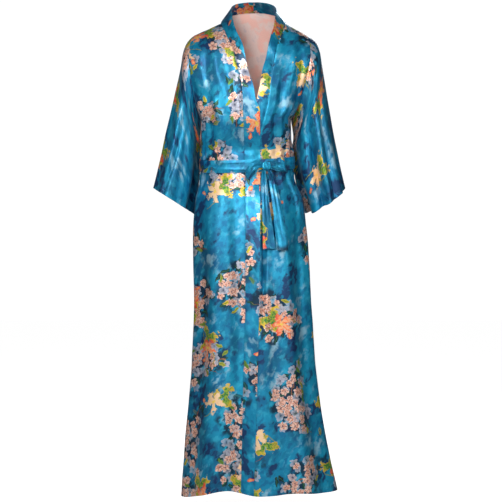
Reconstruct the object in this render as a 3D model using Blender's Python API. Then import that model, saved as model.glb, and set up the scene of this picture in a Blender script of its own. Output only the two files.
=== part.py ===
"""Kimono robe: a full-length tie-belt robe, filled out as it is worn.

Each cut and sewn piece is a thin wall of its own: back, two fronts, two sleeves,
two halves of the neckband, and the tied belt. The wearer's right is at -X and the
front faces -Y. The origin lies midway between the two side neck points.
"""

import math
from typing import NamedTuple

import bmesh
import bpy
import numpy as np

MM = 0.001

# Heights in metres, from the side neck points down
NECK = 0.003
SHOULDER = -0.031
UNDERARM = -0.270
BELT_TOP = -0.361
WAIST = -0.3915
BELT_FOOT = -0.426
HEM = -1.313

# Neck points and nape
NECK_RIGHT = -0.092
NECK_LEFT = 0.094
NAPE_RISE = 0.041
NAPE_DEPTH = 0.066

# Cloth and seams, and how far the upper front stands out from the lower one
CLOTH = 1.5 * MM
BAND_CLOTH = 2.0 * MM
SEAM_GAP = 0.3 * MM
LAP = 3.4 * MM

# Belt
BELT_WIDTH = 35 * MM
BELT_CLOTH = 2.0 * MM
BELT_CLEARANCE = 0.4 * MM
# How far past the upper front's edge the belt comes down onto the lower front
BELT_STEP_DOWN = 14 * MM
BELT_LEVEL = -0.3917
BELT_RISE_LEFT = 0.0352
BELT_RISE_BACK = 0.126
KNOT_WIDTH = 27 * MM
KNOT_DEPTH = 18 * MM
KNOT_HEIGHT = 24 * MM
KNOT_X = 0.036
KNOT_DROP = 2 * MM
KNOT_FLAT = 0.3
KNOT_ROUNDING = 0.3
KNOT_PROFILE = 0.6
TAIL_SETTLE = 0.035
TAIL_CROWN = 0.8 * MM

# Mesh steps
SKIRT_ROWS = 13
WAIST_ROW = SKIRT_ROWS + 1
WAIST_ROWS = 3
YOKE_ROWS = 12
PANEL_COLUMNS = 12
NAPE_COLUMNS = 8
BAND_COLUMNS = 3
SLEEVE_RINGS = 13
LOOP_STEPS = 16
TAIL_STEPS = 10

# Where the shoulders start to round in, as a share of the way up the armhole
CAP_START = 0.62

COLLECTION = "kimono_robe"


class Section(NamedTuple):
    """One level of the body: its side seams, and how deep it is at the middle.

    A squareness of 2 is an ellipse, and more is squarer.
    """

    height: float
    right: float
    left: float
    front: float
    back: float
    squareness: float


SECTIONS = (
    Section(HEM, -0.201, 0.233, 0.150, 0.160, 2.3),
    Section(-1.140, -0.1885, 0.198, 0.138, 0.148, 2.3),
    Section(-0.940, -0.169, 0.172, 0.126, 0.138, 2.3),
    Section(-0.800, -0.166, 0.163, 0.119, 0.133, 2.3),
    Section(-0.600, -0.171, 0.152, 0.112, 0.128, 2.3),
    Section(-0.500, -0.165, 0.141, 0.105, 0.117, 2.3),
    Section(BELT_FOOT, -0.150, 0.114, 0.093, 0.094, 2.3),
    Section(BELT_TOP, -0.150, 0.114, 0.093, 0.090, 2.3),
    Section(-0.320, -0.150, 0.107, 0.107, 0.094, 2.6),
    Section(UNDERARM, -0.149, 0.106, 0.117, 0.100, 3.2),
    Section(-0.190, -0.165, 0.130, 0.120, 0.104, 3.1),
    Section(-0.100, -0.178, 0.150, 0.104, 0.100, 2.7),
    Section(NECK, -0.178, 0.158, 0.078, 0.086, 2.3),
)


class Armhole(NamedTuple):
    """The sleeve seam, from the underarm (rise 0) to the shoulder (rise 1)."""

    rise: float
    right: float
    left: float
    front: float
    back: float


ARMHOLES = (
    Armhole(0.00, -0.149, 0.106, 0.000, 0.000),
    Armhole(0.07, -0.155, 0.117, 0.034, 0.036),
    Armhole(0.18, -0.163, 0.129, 0.056, 0.060),
    Armhole(0.34, -0.170, 0.139, 0.070, 0.074),
    Armhole(0.52, -0.176, 0.151, 0.076, 0.080),
    Armhole(0.75, -0.180, 0.159, 0.074, 0.078),
    Armhole(0.90, -0.1775, 0.157, 0.066, 0.070),
    Armhole(1.00, -0.171, 0.152, 0.058, 0.062),
)


class FrontEdge(NamedTuple):
    """Where a front ends at its neckband, and where the band ends."""

    height: float
    seam: float
    edge: float


# The wearer's right front lies on top
RIGHT_EDGE = (
    FrontEdge(HEM, -0.0345, 0.001),
    FrontEdge(-1.050, -0.029, 0.009),
    FrontEdge(-0.775, -0.0225, 0.0155),
    FrontEdge(-0.530, -0.022, 0.018),
    FrontEdge(-0.400, -0.024, 0.018),
    FrontEdge(-0.300, -0.027, 0.017),
    FrontEdge(-0.250, -0.029, 0.0165),
    FrontEdge(-0.223, -0.0295, 0.0065),
    FrontEdge(-0.178, -0.0325, -0.0014),
    FrontEdge(-0.144, -0.0411, -0.0136),
    FrontEdge(-0.109, -0.0496, -0.0213),
    FrontEdge(-0.079, -0.0581, -0.030),
    FrontEdge(-0.059, -0.0652, -0.043),
    FrontEdge(-0.036, -0.0760, -0.054),
    FrontEdge(NECK, NECK_RIGHT, -0.0625),
)

# The wearer's left front lies beneath
LEFT_EDGE = (
    FrontEdge(HEM, -0.006, -0.046),
    FrontEdge(-0.530, -0.008, -0.048),
    FrontEdge(-0.400, 0.000, -0.040),
    FrontEdge(-0.330, 0.014, -0.024),
    FrontEdge(-0.260, 0.033, -0.003),
    FrontEdge(-0.217, 0.0425, 0.0094),
    FrontEdge(-0.168, 0.0476, 0.0198),
    FrontEdge(-0.139, 0.0520, 0.0241),
    FrontEdge(-0.109, 0.0581, 0.034),
    FrontEdge(-0.079, 0.0640, 0.042),
    FrontEdge(-0.059, 0.0685, 0.049),
    FrontEdge(-0.036, 0.0780, 0.0575),
    FrontEdge(NECK, NECK_LEFT, 0.0645),
)


class Lean(NamedTuple):
    """How far the neckband's free edge stands in front of and above its seam."""

    height: float
    forward: float
    up: float


LEANS = (
    Lean(-0.150, 0.006, 0.000),
    Lean(-0.109, 0.007, 0.004),
    Lean(-0.079, 0.008, 0.014),
    Lean(-0.059, 0.010, 0.021),
    Lean(-0.036, 0.013, 0.028),
    Lean(NECK, 0.010, 0.033),
)
# At the centre back the band leans in, towards the neck
NAPE_LEAN = Lean(NECK, 0.029, 0.026)
SIDE_LEAN_ACROSS = 0.0295
LEAN_START = -0.150
LEAN_FULL = -0.085


class Fold(NamedTuple):
    """A soft ridge (depth over 0) or trough that runs down the body.

    Angles are degrees round the body: 0 at the front, 90 at the wearer's left side,
    -90 at the right side and 180 at the back.
    """

    top: float
    foot: float
    angle_top: float
    angle_foot: float
    half_width: float
    depth: float


SKIRT_TOP = BELT_FOOT
FOLDS = (
    Fold(SKIRT_TOP, HEM - 0.5, -76, -82, 11, 7 * MM),
    Fold(SKIRT_TOP, HEM - 0.4, -56, -61, 13, -8 * MM),
    Fold(SKIRT_TOP, HEM - 0.6, -38, -42, 11, 6 * MM),
    Fold(SKIRT_TOP, HEM - 0.2, -22, -25, 10, -5 * MM),
    Fold(SKIRT_TOP, HEM - 0.5, 20, 22, 11, -7 * MM),
    Fold(SKIRT_TOP, HEM - 0.4, 36, 41, 11, 7 * MM),
    Fold(SKIRT_TOP, HEM - 0.6, 54, 60, 12, -8 * MM),
    Fold(SKIRT_TOP, HEM - 0.3, 74, 78, 11, 7 * MM),
    Fold(SKIRT_TOP, HEM - 0.5, 97, 102, 12, -6 * MM),
    Fold(SKIRT_TOP, HEM - 0.4, 116, 121, 12, 8 * MM),
    Fold(SKIRT_TOP, HEM - 0.6, 137, 140, 13, -8 * MM),
    Fold(SKIRT_TOP, HEM - 0.3, 158, 159, 12, 7 * MM),
    Fold(SKIRT_TOP, HEM - 0.5, 181, 179, 13, -8 * MM),
    Fold(SKIRT_TOP, HEM - 0.4, 203, 200, 12, 8 * MM),
    Fold(SKIRT_TOP, HEM - 0.5, 224, 219, 13, -7 * MM),
    Fold(SKIRT_TOP, HEM - 0.4, 246, 240, 12, 7 * MM),
    Fold(SKIRT_TOP, -0.62, -88, -90, 8, -4 * MM),
    Fold(SKIRT_TOP, -0.56, 60, 64, 7, 4 * MM),
    Fold(-0.18, BELT_TOP, -46, -50, 11, -6 * MM),
    Fold(-0.20, BELT_TOP, -66, -70, 9, 5 * MM),
    Fold(-0.16, BELT_TOP, 40, 44, 11, -6 * MM),
    Fold(-0.22, BELT_TOP, 62, 66, 9, 5 * MM),
    Fold(-0.20, BELT_TOP, 132, 140, 12, -6 * MM),
    Fold(-0.16, BELT_TOP, 160, 163, 12, 5 * MM),
    Fold(-0.12, BELT_TOP, 186, 183, 12, -5 * MM),
    Fold(-0.18, BELT_TOP, 214, 207, 12, 6 * MM),
    Fold(-0.22, BELT_TOP, 236, 228, 11, -5 * MM),
)


class HemPoint(NamedTuple):
    """How far the hem lies above its level at an angle round the body."""

    angle: float
    rise: float


HEM_WAVE = (
    HemPoint(-90, -13 * MM),
    HemPoint(-75, -15 * MM),
    HemPoint(-50, -4 * MM),
    HemPoint(-22, 14 * MM),
    HemPoint(0, 0.0),
    HemPoint(30, 6 * MM),
    HemPoint(60, 1 * MM),
    HemPoint(90, 4 * MM),
    HemPoint(138, -7 * MM),
    HemPoint(188, 7 * MM),
    HemPoint(222, -1 * MM),
    HemPoint(255, -10 * MM),
    HemPoint(270, -13 * MM),
)


class SleeveLine(NamedTuple):
    """One station down a sleeve: its outer line, and how deep it is."""

    along: float
    right_x: float
    right_z: float
    left_x: float
    left_z: float
    half_depth: float


SLEEVE_LINES = (
    SleeveLine(0.00, -0.171, -0.031, 0.152, -0.031, 0.080),
    SleeveLine(0.05, -0.188, -0.050, 0.176, -0.050, 0.080),
    SleeveLine(0.10, -0.197, -0.073, 0.186, -0.073, 0.081),
    SleeveLine(0.20, -0.2060, -0.119, 0.194, -0.119, 0.083),
    SleeveLine(0.40, -0.2260, -0.210, 0.211, -0.210, 0.087),
    SleeveLine(0.60, -0.2450, -0.300, 0.2265, -0.300, 0.092),
    SleeveLine(0.80, -0.2660, -0.391, 0.2455, -0.391, 0.096),
    SleeveLine(1.00, -0.2835, -0.462, 0.2610, -0.459, 0.100),
)
RIGHT_CUFF_INNER = (-0.169, -0.534)
LEFT_CUFF_INNER = (0.149, -0.530)
# The front of the left cuff hangs below the line between its corners
LEFT_CUFF_SAG = 17 * MM
SLEEVE_SWING = 0.020
SLEEVE_TUCK = 0.034
# Beside the belt a sleeve's inner line keeps this much closer to the body's side
RIGHT_CLING = 4.5 * MM
LEFT_CLING = 7 * MM


class SleeveFold(NamedTuple):
    """A ridge or trough down a sleeve: 0 degrees is its outer line, 90 its front."""

    start: float
    end: float
    angle_start: float
    angle_end: float
    half_width: float
    depth: float


SLEEVE_FOLDS = (
    SleeveFold(0.10, 1.4, 34, 28, 18, -8 * MM),
    SleeveFold(0.06, 1.5, 62, 66, 18, 8 * MM),
    SleeveFold(0.12, 1.4, 92, 100, 18, -9 * MM),
    SleeveFold(0.16, 1.5, 124, 132, 18, 7 * MM),
    SleeveFold(0.12, 1.4, 318, 322, 18, 7 * MM),
    SleeveFold(0.08, 1.5, 284, 290, 18, -8 * MM),
    SleeveFold(0.14, 1.4, 252, 256, 18, 8 * MM),
    SleeveFold(0.18, 1.5, 222, 224, 16, -6 * MM),
)


class RibbonPoint(NamedTuple):
    """A station on a bow loop, seen from the front, from the knot's centre.

    out is how far it stands in front of the knot's middle, and turn is the angle of
    the ribbon's width from level, in degrees.
    """

    across: float
    out: float
    up: float
    turn: float
    width: float


RIGHT_LOOP = (
    RibbonPoint(-14.4 * MM, 3.0 * MM, 2.0 * MM, 92, 14 * MM),
    RibbonPoint(-24 * MM, 9 * MM, 4 * MM, 94, 22 * MM),
    RibbonPoint(-37 * MM, 12 * MM, -2 * MM, 98, 28 * MM),
    RibbonPoint(-49 * MM, 9.5 * MM, -15 * MM, 101, 28 * MM),
    RibbonPoint(-56 * MM, 4 * MM, -25 * MM, 102, 26 * MM),
    RibbonPoint(-51 * MM, -0.5 * MM, -24 * MM, 100, 27 * MM),
    RibbonPoint(-37 * MM, -1.5 * MM, -14 * MM, 97, 27 * MM),
    RibbonPoint(-25 * MM, -1.5 * MM, -5.5 * MM, 94, 21 * MM),
    RibbonPoint(-14.4 * MM, -2.5 * MM, -1 * MM, 92, 14 * MM),
)
LEFT_LOOP = (
    RibbonPoint(14.4 * MM, 3.0 * MM, 2.0 * MM, 90, 14 * MM),
    RibbonPoint(24 * MM, 10 * MM, 5 * MM, 92, 25 * MM),
    RibbonPoint(36 * MM, 15 * MM, 6 * MM, 96, 34 * MM),
    RibbonPoint(47 * MM, 13 * MM, 3 * MM, 100, 36 * MM),
    RibbonPoint(52 * MM, 7 * MM, 1 * MM, 102, 35 * MM),
    RibbonPoint(47 * MM, 2 * MM, 1 * MM, 100, 34 * MM),
    RibbonPoint(36 * MM, 0 * MM, 1 * MM, 96, 31 * MM),
    RibbonPoint(24 * MM, -1 * MM, 0 * MM, 92, 24 * MM),
    RibbonPoint(14.4 * MM, -2.5 * MM, -1 * MM, 90, 14 * MM),
)


class TailPoint(NamedTuple):
    """A station down a hanging end: from the knot's foot, and off the skirt."""

    drop: float
    across: float
    width: float
    off: float


RIGHT_TAIL = (
    TailPoint(0.3 * MM, -7 * MM, 10 * MM, 9 * MM),
    TailPoint(10 * MM, -7.5 * MM, 12 * MM, 9 * MM),
    TailPoint(50 * MM, -5.5 * MM, 16 * MM, 8 * MM),
    TailPoint(115 * MM, -1 * MM, 23 * MM, 8 * MM),
    TailPoint(175 * MM, 4.5 * MM, 30 * MM, 8.5 * MM),
    TailPoint(218 * MM, 7 * MM, 34 * MM, 9.5 * MM),
)
LEFT_TAIL = (
    TailPoint(0.3 * MM, 7 * MM, 10 * MM, 10 * MM),
    TailPoint(10 * MM, 12 * MM, 14 * MM, 10 * MM),
    TailPoint(50 * MM, 20 * MM, 21 * MM, 10 * MM),
    TailPoint(115 * MM, 32 * MM, 27 * MM, 10.5 * MM),
    TailPoint(190 * MM, 41 * MM, 31 * MM, 11 * MM),
    TailPoint(222 * MM, 43.5 * MM, 30 * MM, 12 * MM),
)


class Finish(NamedTuple):
    """The colour and gloss of a material."""

    name: str
    colour: tuple
    roughness: float


SATIN = Finish("printed_satin", (0.020, 0.190, 0.330, 1.0), 0.34)
SATIN_BAND = Finish("neckband_satin", (0.030, 0.230, 0.370, 1.0), 0.36)
SATIN_BELT = Finish("belt_satin", (0.015, 0.160, 0.290, 1.0), 0.34)


def smooth_curve(places, values):
    """Returns a function that runs smoothly through the values, never past them."""
    xs = np.asarray(places, float)
    ys = np.asarray(values, float)
    steps = np.diff(xs)
    slopes = np.diff(ys) / steps
    tangents = np.zeros(len(xs))
    tangents[0], tangents[-1] = slopes[0], slopes[-1]
    for i in range(1, len(xs) - 1):
        if slopes[i - 1] * slopes[i] > 0:
            before = 2 * steps[i] + steps[i - 1]
            after = steps[i] + 2 * steps[i - 1]
            tangents[i] = (before + after) / (before / slopes[i - 1] + after / slopes[i])

    def at(place):
        """The value at a place, held level past either end."""
        place = min(max(place, xs[0]), xs[-1])
        i = min(int(np.searchsorted(xs, place, side="right")) - 1, len(xs) - 2)
        t = (place - xs[i]) / steps[i]
        start = ys[i] * (1 + 2 * t) * (1 - t) ** 2 + tangents[i] * steps[i] * t * (1 - t) ** 2
        end = ys[i + 1] * t * t * (3 - 2 * t) - tangents[i + 1] * steps[i] * t * t * (1 - t)
        return float(start + end)

    return at


def curves_of(table):
    """A smooth curve for each column of a table, along its first column."""
    fields = table[0]._fields
    places = [getattr(row, fields[0]) for row in table]
    return {
        field: smooth_curve(places, [getattr(row, field) for row in table])
        for field in fields[1:]
    }


def ease(value):
    """0 below 0, 1 above 1, and an even S between."""
    value = min(max(value, 0.0), 1.0)
    return value * value * (3 - 2 * value)


def mix(first, second, share):
    """The value that lies this share of the way from first to second."""
    return first + (second - first) * share


BODY = curves_of(SECTIONS)
ARMHOLE = curves_of(ARMHOLES)
LEAN = curves_of(LEANS)
SLEEVE = curves_of(SLEEVE_LINES)
HEM_RISE = curves_of(HEM_WAVE)["rise"]
EDGE = {-1: curves_of(RIGHT_EDGE), 1: curves_of(LEFT_EDGE)}


class Row(NamedTuple):
    """One level round the body: rise is 0 up to the underarm and 1 at the shoulder."""

    height: float
    rise: float
    side_height: float
    right: float
    left: float


def body_rows():
    """The levels from the hem up to the shoulder seams."""
    skirt = np.linspace(HEM, BELT_FOOT, SKIRT_ROWS + 1)
    waist = np.linspace(BELT_TOP, UNDERARM, WAIST_ROWS + 1)
    heights = (*skirt, WAIST, *waist)
    rows = [Row(h, 0.0, h, BODY["right"](h), BODY["left"](h)) for h in heights]
    for step in range(1, YOKE_ROWS + 1):
        rise = (1 - math.cos(math.pi * step / YOKE_ROWS)) / 2
        rows.append(
            Row(
                mix(UNDERARM, NECK, rise),
                rise,
                mix(UNDERARM, SHOULDER, rise),
                ARMHOLE["right"](rise),
                ARMHOLE["left"](rise),
            )
        )
    return rows


def fold_lift(angle, height):
    """How far all the folds together move the cloth out at this place."""
    lift = 0.0
    for fold in FOLDS:
        down = (fold.top - height) / (fold.top - fold.foot)
        if not 0 < down < 1:
            continue
        middle = mix(fold.angle_top, fold.angle_foot, down)
        away = (angle - middle + 180) % 360 - 180
        if abs(away) >= fold.half_width:
            continue
        across = math.cos(math.pi * away / fold.half_width / 2) ** 2
        ends = ease(down * 5) * ease((1 - down) * 4)
        lift += fold.depth * across * ends
    return lift


def hem_rise(angle, height):
    """How far the hem's wave raises the cloth here, fading out up the skirt."""
    down = min(max((BELT_FOOT - height) / (BELT_FOOT - HEM), 0.0), 1.0)
    return HEM_RISE(angle) * down**3


def body_point(row, x, face, lap=0.0, seam_x=None):
    """A point of the cloth on the front (face -1) or the back (face 1) of the body.

    lap moves it out from the body. seam_x is where a front's row starts to slope to
    the shoulder.
    """
    centre, half = (row.right + row.left) / 2, (row.left - row.right) / 2
    share = min(abs(x - centre) / half, 1.0)
    side = "front" if face < 0 else "back"
    soften = ease(row.rise / 0.35)
    squareness = BODY["squareness"](row.height)
    arc = (1 - share**squareness) ** mix(1 / squareness, 0.8, soften)
    depth = mix(ARMHOLE[side](row.rise), BODY[side](row.height), arc)
    cap = max(0.0, (row.rise - CAP_START) / (1 - CAP_START))
    side_x = row.left if x > centre else row.right
    height = row.height
    nape = 0.0
    if face < 0:
        if seam_x is not None and (x - seam_x) * (side_x - seam_x) > 0:
            height = mix(row.height, row.side_height, (x - seam_x) / (side_x - seam_x))
    else:
        neck_x = NECK_LEFT if x > 0 else NECK_RIGHT
        if abs(x) < abs(neck_x):
            nape = math.sqrt(1 - (x / neck_x) ** 2)
            height += NAPE_RISE * nape * row.rise**4
        else:
            height = mix(row.height, row.side_height, (x - neck_x) / (side_x - neck_x))
    top_share = nape * NAPE_DEPTH / depth if depth else 0.0
    depth *= math.sqrt(max(0.0, 1 - cap * cap * (1 - top_share**2)))
    turn = math.asin(min(share, 1.0)) * (1 if x > centre else -1)
    angle = math.degrees(turn) if face < 0 else 180 - math.degrees(turn)
    across = math.sin(turn) / half
    along = math.cos(turn) / max(depth, 0.02)
    length = math.hypot(across, along)
    lift = lap + fold_lift(angle, height) * ease((1 - row.rise) * 3)
    return np.array(
        (
            x + across / length * lift,
            face * (depth + along / length * lift),
            height + hem_rise(angle, height),
        )
    )


def lap_of(row, x, side):
    """How far the upper front stands out from the lower one: none at its side seam."""
    if side > 0:
        return 0.0
    centre, half = (row.right + row.left) / 2, (row.left - row.right) / 2
    away = math.degrees(math.asin(max(-1.0, min(1.0, (x - centre) / half))))
    return LAP * ease((away + 78) / 34) * ease((1 - row.rise) * 5)


def front_grid(rows, side):
    """The rows of a front, from its neckband seam out to its side."""
    grid = []
    for row in rows:
        centre, half = (row.right + row.left) / 2, (row.left - row.right) / 2
        seam_x = EDGE[side]["seam"](row.height)
        side_x = row.left if side > 0 else row.right
        first = math.asin((seam_x - centre) / half)
        last = side * math.pi / 2
        even = ease(row.rise / 0.4)
        points = []
        for column in range(PANEL_COLUMNS + 1):
            share = column / PANEL_COLUMNS
            round_x = centre + half * math.sin(mix(first, last, share))
            x = mix(round_x, mix(seam_x, side_x, share), even)
            points.append(body_point(row, x, -1, lap_of(row, x, side), seam_x))
        grid.append(points)
    return np.array(grid)


def back_grid(rows):
    """The rows of the back, from the wearer's right to the left."""
    spans = 2 * PANEL_COLUMNS + NAPE_COLUMNS
    grid = []
    for row in rows:
        centre, half = (row.right + row.left) / 2, (row.left - row.right) / 2
        even = ease(row.rise / 0.6)
        points = []
        for column in range(spans + 1):
            round_x = centre + half * math.sin(math.pi * (column / spans - 0.5))
            if column < PANEL_COLUMNS:
                top_x = mix(row.right, NECK_RIGHT, column / PANEL_COLUMNS)
            elif column > spans - PANEL_COLUMNS:
                top_x = mix(row.left, NECK_LEFT, (spans - column) / PANEL_COLUMNS)
            else:
                turn = math.pi * ((column - PANEL_COLUMNS) / NAPE_COLUMNS - 0.5)
                neck_x = NECK_LEFT if turn > 0 else -NECK_RIGHT
                top_x = neck_x * math.sin(turn)
            points.append(body_point(row, mix(round_x, top_x, even), 1))
        grid.append(points)
    return np.array(grid)


def band_grid(rows, front, back, side):
    """Half the neckband: up the front edge from the hem, then round to the nape."""
    grid = []
    shares = np.linspace(0, 1, BAND_COLUMNS + 1)
    for row, edge_points in zip(rows, front):
        seam = edge_points[0]
        edge_x = EDGE[side]["edge"](row.height)
        seam_x = EDGE[side]["seam"](row.height)
        stand = ease((row.height - LEAN_START) / (LEAN_FULL - LEAN_START))
        lean = np.array(
            (edge_x - seam_x, -LEAN["forward"](row.height), LEAN["up"](row.height))
        )
        points = []
        for share in shares:
            x = mix(seam_x, edge_x, share)
            flat = body_point(row, x, -1, lap_of(row, x, side), seam_x)
            points.append(mix(flat, seam + lean * share, stand))
        points[0] = seam
        grid.append(points)
    half = NAPE_COLUMNS // 2
    start = PANEL_COLUMNS if side < 0 else PANEL_COLUMNS + NAPE_COLUMNS
    side_lean = np.array((SIDE_LEAN_ACROSS * -side, -LEAN["forward"](NECK), LEAN["up"](NECK)))
    nape_lean = np.array((0.0, -NAPE_LEAN.forward, NAPE_LEAN.up))
    for step in range(1, half + 1):
        seam = back[-1][start - side * step]
        lean = mix(side_lean, nape_lean, math.sin(math.pi / 2 * step / half) ** 1.5)
        grid.append([seam + lean * share for share in shares])
    return np.array(grid)


def sleeve_lift(angle, along):
    """How far the folds of a sleeve move its cloth out."""
    lift = 0.0
    for fold in SLEEVE_FOLDS:
        down = (along - fold.start) / (fold.end - fold.start)
        if not 0 < down < 1:
            continue
        middle = mix(fold.angle_start, fold.angle_end, down)
        away = (angle - middle + 180) % 360 - 180
        if abs(away) < fold.half_width:
            across = math.cos(math.pi * away / fold.half_width / 2) ** 2
            lift += fold.depth * across * ease(down * 2.5)
    return lift


def sleeve_grid(front, back, side):
    """The rings of a sleeve, from its armhole seam to its cuff."""
    name = "left" if side > 0 else "right"
    inner = LEFT_CUFF_INNER if side > 0 else RIGHT_CUFF_INNER
    sag = LEFT_CUFF_SAG if side > 0 else 0.0
    column = -1 if side > 0 else 0
    down_front = [row[-1] for row in front[-YOKE_ROWS - 1 :][::-1]]
    up_back = [row[column] for row in back[-YOKE_ROWS - 1 :]]
    armhole = np.array(down_front + up_back[1:-1])
    turns = 2 * math.pi * np.arange(len(armhole)) / len(armhole)
    underarm = armhole[YOKE_ROWS]
    grid = []
    for ring in range(SLEEVE_RINGS + 1):
        along = ring / SLEEVE_RINGS
        outer_x = SLEEVE[name + "_x"](along)
        outer_z = SLEEVE[name + "_z"](along)
        under = smooth_curve((0.0, 0.45, 1.0), (0.0, 0.50, 1.0))(along)
        cling = LEFT_CLING if side > 0 else RIGHT_CLING
        cling *= ease((under - 0.27) / 0.2) * ease((1 - under) / 0.35)
        inner_x = mix(underarm[0], inner[0], under) - side * cling
        inner_z = mix(underarm[2], inner[1], under)
        depth = SLEEVE["half_depth"](along)
        settle = ease(along / 0.4)
        points = []
        for turn, seam in zip(turns, armhole):
            out = (1 + math.cos(turn)) / 2
            swing = SLEEVE_SWING * along + SLEEVE_TUCK * (1 - out) * settle
            low = sag * max(0.0, math.sin(turn)) * along**3
            oval = np.array(
                (
                    mix(inner_x, outer_x, out),
                    swing - depth * math.sin(turn),
                    mix(inner_z, outer_z, out) - low,
                )
            )
            start_oval = np.array(
                (
                    mix(underarm[0], SLEEVE[name + "_x"](0.0), out),
                    -SLEEVE["half_depth"](0.0) * math.sin(turn),
                    mix(underarm[2], SLEEVE[name + "_z"](0.0), out),
                )
            )
            point = oval + (seam - start_oval) * (1 - settle)
            middle = np.array(
                ((inner_x + outer_x) / 2, swing, (inner_z + outer_z) / 2)
            )
            away = point - middle
            lift = sleeve_lift(math.degrees(turn), along)
            points.append(point + away / np.linalg.norm(away) * lift)
        grid.append(points)
    return np.array(grid)


def belt_height(point):
    """The height of the belt's middle: higher at the wearer's left and at the back."""
    return BELT_LEVEL + BELT_RISE_LEFT * point[0] + BELT_RISE_BACK * point[1]


def belt_ring(panels):
    """The belt's middle line round the waist, clear of the cloth beneath it."""
    row = SKIRT_ROWS
    right, left = panels["front_right"][row], panels["front_left"][row]
    band, back = panels["neckband_right"][row], panels["back_panel"][row]
    beneath = [point for point in left if point[0] > band[-1][0] + BELT_STEP_DOWN]
    over = [*right[::-1][:-1], *band]
    ring = np.array([*over, *beneath, *back[::-1][1:-1]])
    normals = np.zeros_like(ring)
    around = np.roll(ring, -1, axis=0) - np.roll(ring, 1, axis=0)
    normals[:, 0], normals[:, 1] = around[:, 1], -around[:, 0]
    normals /= np.linalg.norm(normals, axis=1)[:, None]
    off = CLOTH / 2 + BELT_CLEARANCE + BELT_CLOTH / 2
    extra = np.zeros(len(ring))
    extra[len(over) - BAND_COLUMNS - 1 : len(over) + 1] = BAND_CLOTH / 2 - CLOTH / 2
    return ring + normals * (off + extra)[:, None]


def belt_grid(panels):
    """The length of belt that goes round the waist, as rings one above another."""
    ring = belt_ring(panels)
    grid = []
    for share in (-0.5, 0.0, 0.5):
        level = ring.copy()
        level[:, 2] = [belt_height(point) + share * BELT_WIDTH for point in ring]
        grid.append(level)
    return np.array(grid)


def knot_centre(panels):
    """The middle of the knot, which lies on the front of the belt."""
    ring = belt_ring(panels)
    front = ring[ring[:, 1] < 0]
    order = np.argsort(front[:, 0])
    reach = KNOT_X + KNOT_WIDTH * np.linspace(-KNOT_FLAT, KNOT_FLAT, 9)
    depth = np.interp(reach, front[order, 0], front[order, 1]).min()
    off = BELT_CLOTH / 2 + SEAM_GAP + KNOT_DEPTH / 2
    return np.array((KNOT_X, depth - off, belt_height((KNOT_X, depth)) - KNOT_DROP))


def loop_grid(table, knot):
    """A bow loop: a ribbon that goes out from the knot and back behind itself."""
    places = np.linspace(0, 1, len(table))
    curves = {
        field: smooth_curve(places, [getattr(row, field) for row in table])
        for field in RibbonPoint._fields
    }
    grid = []
    for place in np.linspace(0, 1, LOOP_STEPS + 1):
        turn = math.radians(curves["turn"](place))
        width = curves["width"](place)
        middle = knot + np.array(
            (curves["across"](place), -curves["out"](place), curves["up"](place))
        )
        half = np.array((math.cos(turn), 0.0, math.sin(turn))) * width / 2
        grid.append([middle - half, middle, middle + half])
    return np.array(grid)


def tail_grid(table, knot):
    """A hanging end of the belt: out of the knot's foot, then just off the skirt."""
    curves = curves_of(table)
    foot = knot[2] - KNOT_HEIGHT / 2
    grid = []
    for share in np.linspace(0, 1, TAIL_STEPS + 1):
        drop = mix(table[0].drop, table[-1].drop, share)
        height = foot - drop
        row = Row(height, 0.0, height, BODY["right"](height), BODY["left"](height))
        middle_x, width = knot[0] + curves["across"](drop), curves["width"](drop)
        points = []
        for side in (-0.5, 0.0, 0.5):
            x = middle_x + side * width
            crown = TAIL_CROWN if side == 0 else 0.0
            hanging = body_point(row, x, -1)[1] - curves["off"](drop) - crown
            points.append((x, mix(knot[1], hanging, ease(drop / TAIL_SETTLE)), height))
        grid.append(points)
    return np.array(grid)


def grid_normals(points, wraps):
    """The outward direction at each point of a grid."""
    if wraps:
        across = np.roll(points, -1, axis=1) - np.roll(points, 1, axis=1)
    else:
        across = np.gradient(points, axis=1)
    normals = np.cross(across, np.gradient(points, axis=0))
    normals /= np.maximum(np.linalg.norm(normals, axis=2), 1e-9)[:, :, None]
    return normals


def facing(points, normals, middle):
    """The normals, turned so that on the whole they point away from the middle."""
    return normals if ((points - middle) * normals).sum() > 0 else -normals


def share_seams(grids, normals):
    """Gives the pieces that meet at a point one direction there, for a mitred seam."""
    pooled = {}
    for name, points in grids.items():
        for place, normal in zip(points.reshape(-1, 3), normals[name].reshape(-1, 3)):
            key = tuple(np.round(place * 1e5).astype(int))
            pooled[key] = pooled.get(key, 0) + normal
    for name, points in grids.items():
        flat = normals[name].reshape(-1, 3)
        for i, place in enumerate(points.reshape(-1, 3)):
            total = pooled[tuple(np.round(place * 1e5).astype(int))]
            flat[i] = total / np.linalg.norm(total)


def draw_back(points, seams):
    """Moves the named edges of a grid in by half a seam gap."""
    drawn = points.copy()
    sides = {
        "first_row": (0, 1, 0),
        "last_row": (-1, -2, 0),
        "first_column": (0, 1, 1),
        "last_column": (-1, -2, 1),
    }
    for seam in seams:
        edge, beside, axis = sides[seam]
        line, inner = np.take(points, edge, axis), np.take(points, beside, axis)
        way = inner - line
        way /= np.linalg.norm(way, axis=1)[:, None]
        if axis == 0:
            drawn[edge] += way * SEAM_GAP / 2
        else:
            drawn[:, edge] += way * SEAM_GAP / 2
    return drawn


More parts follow.
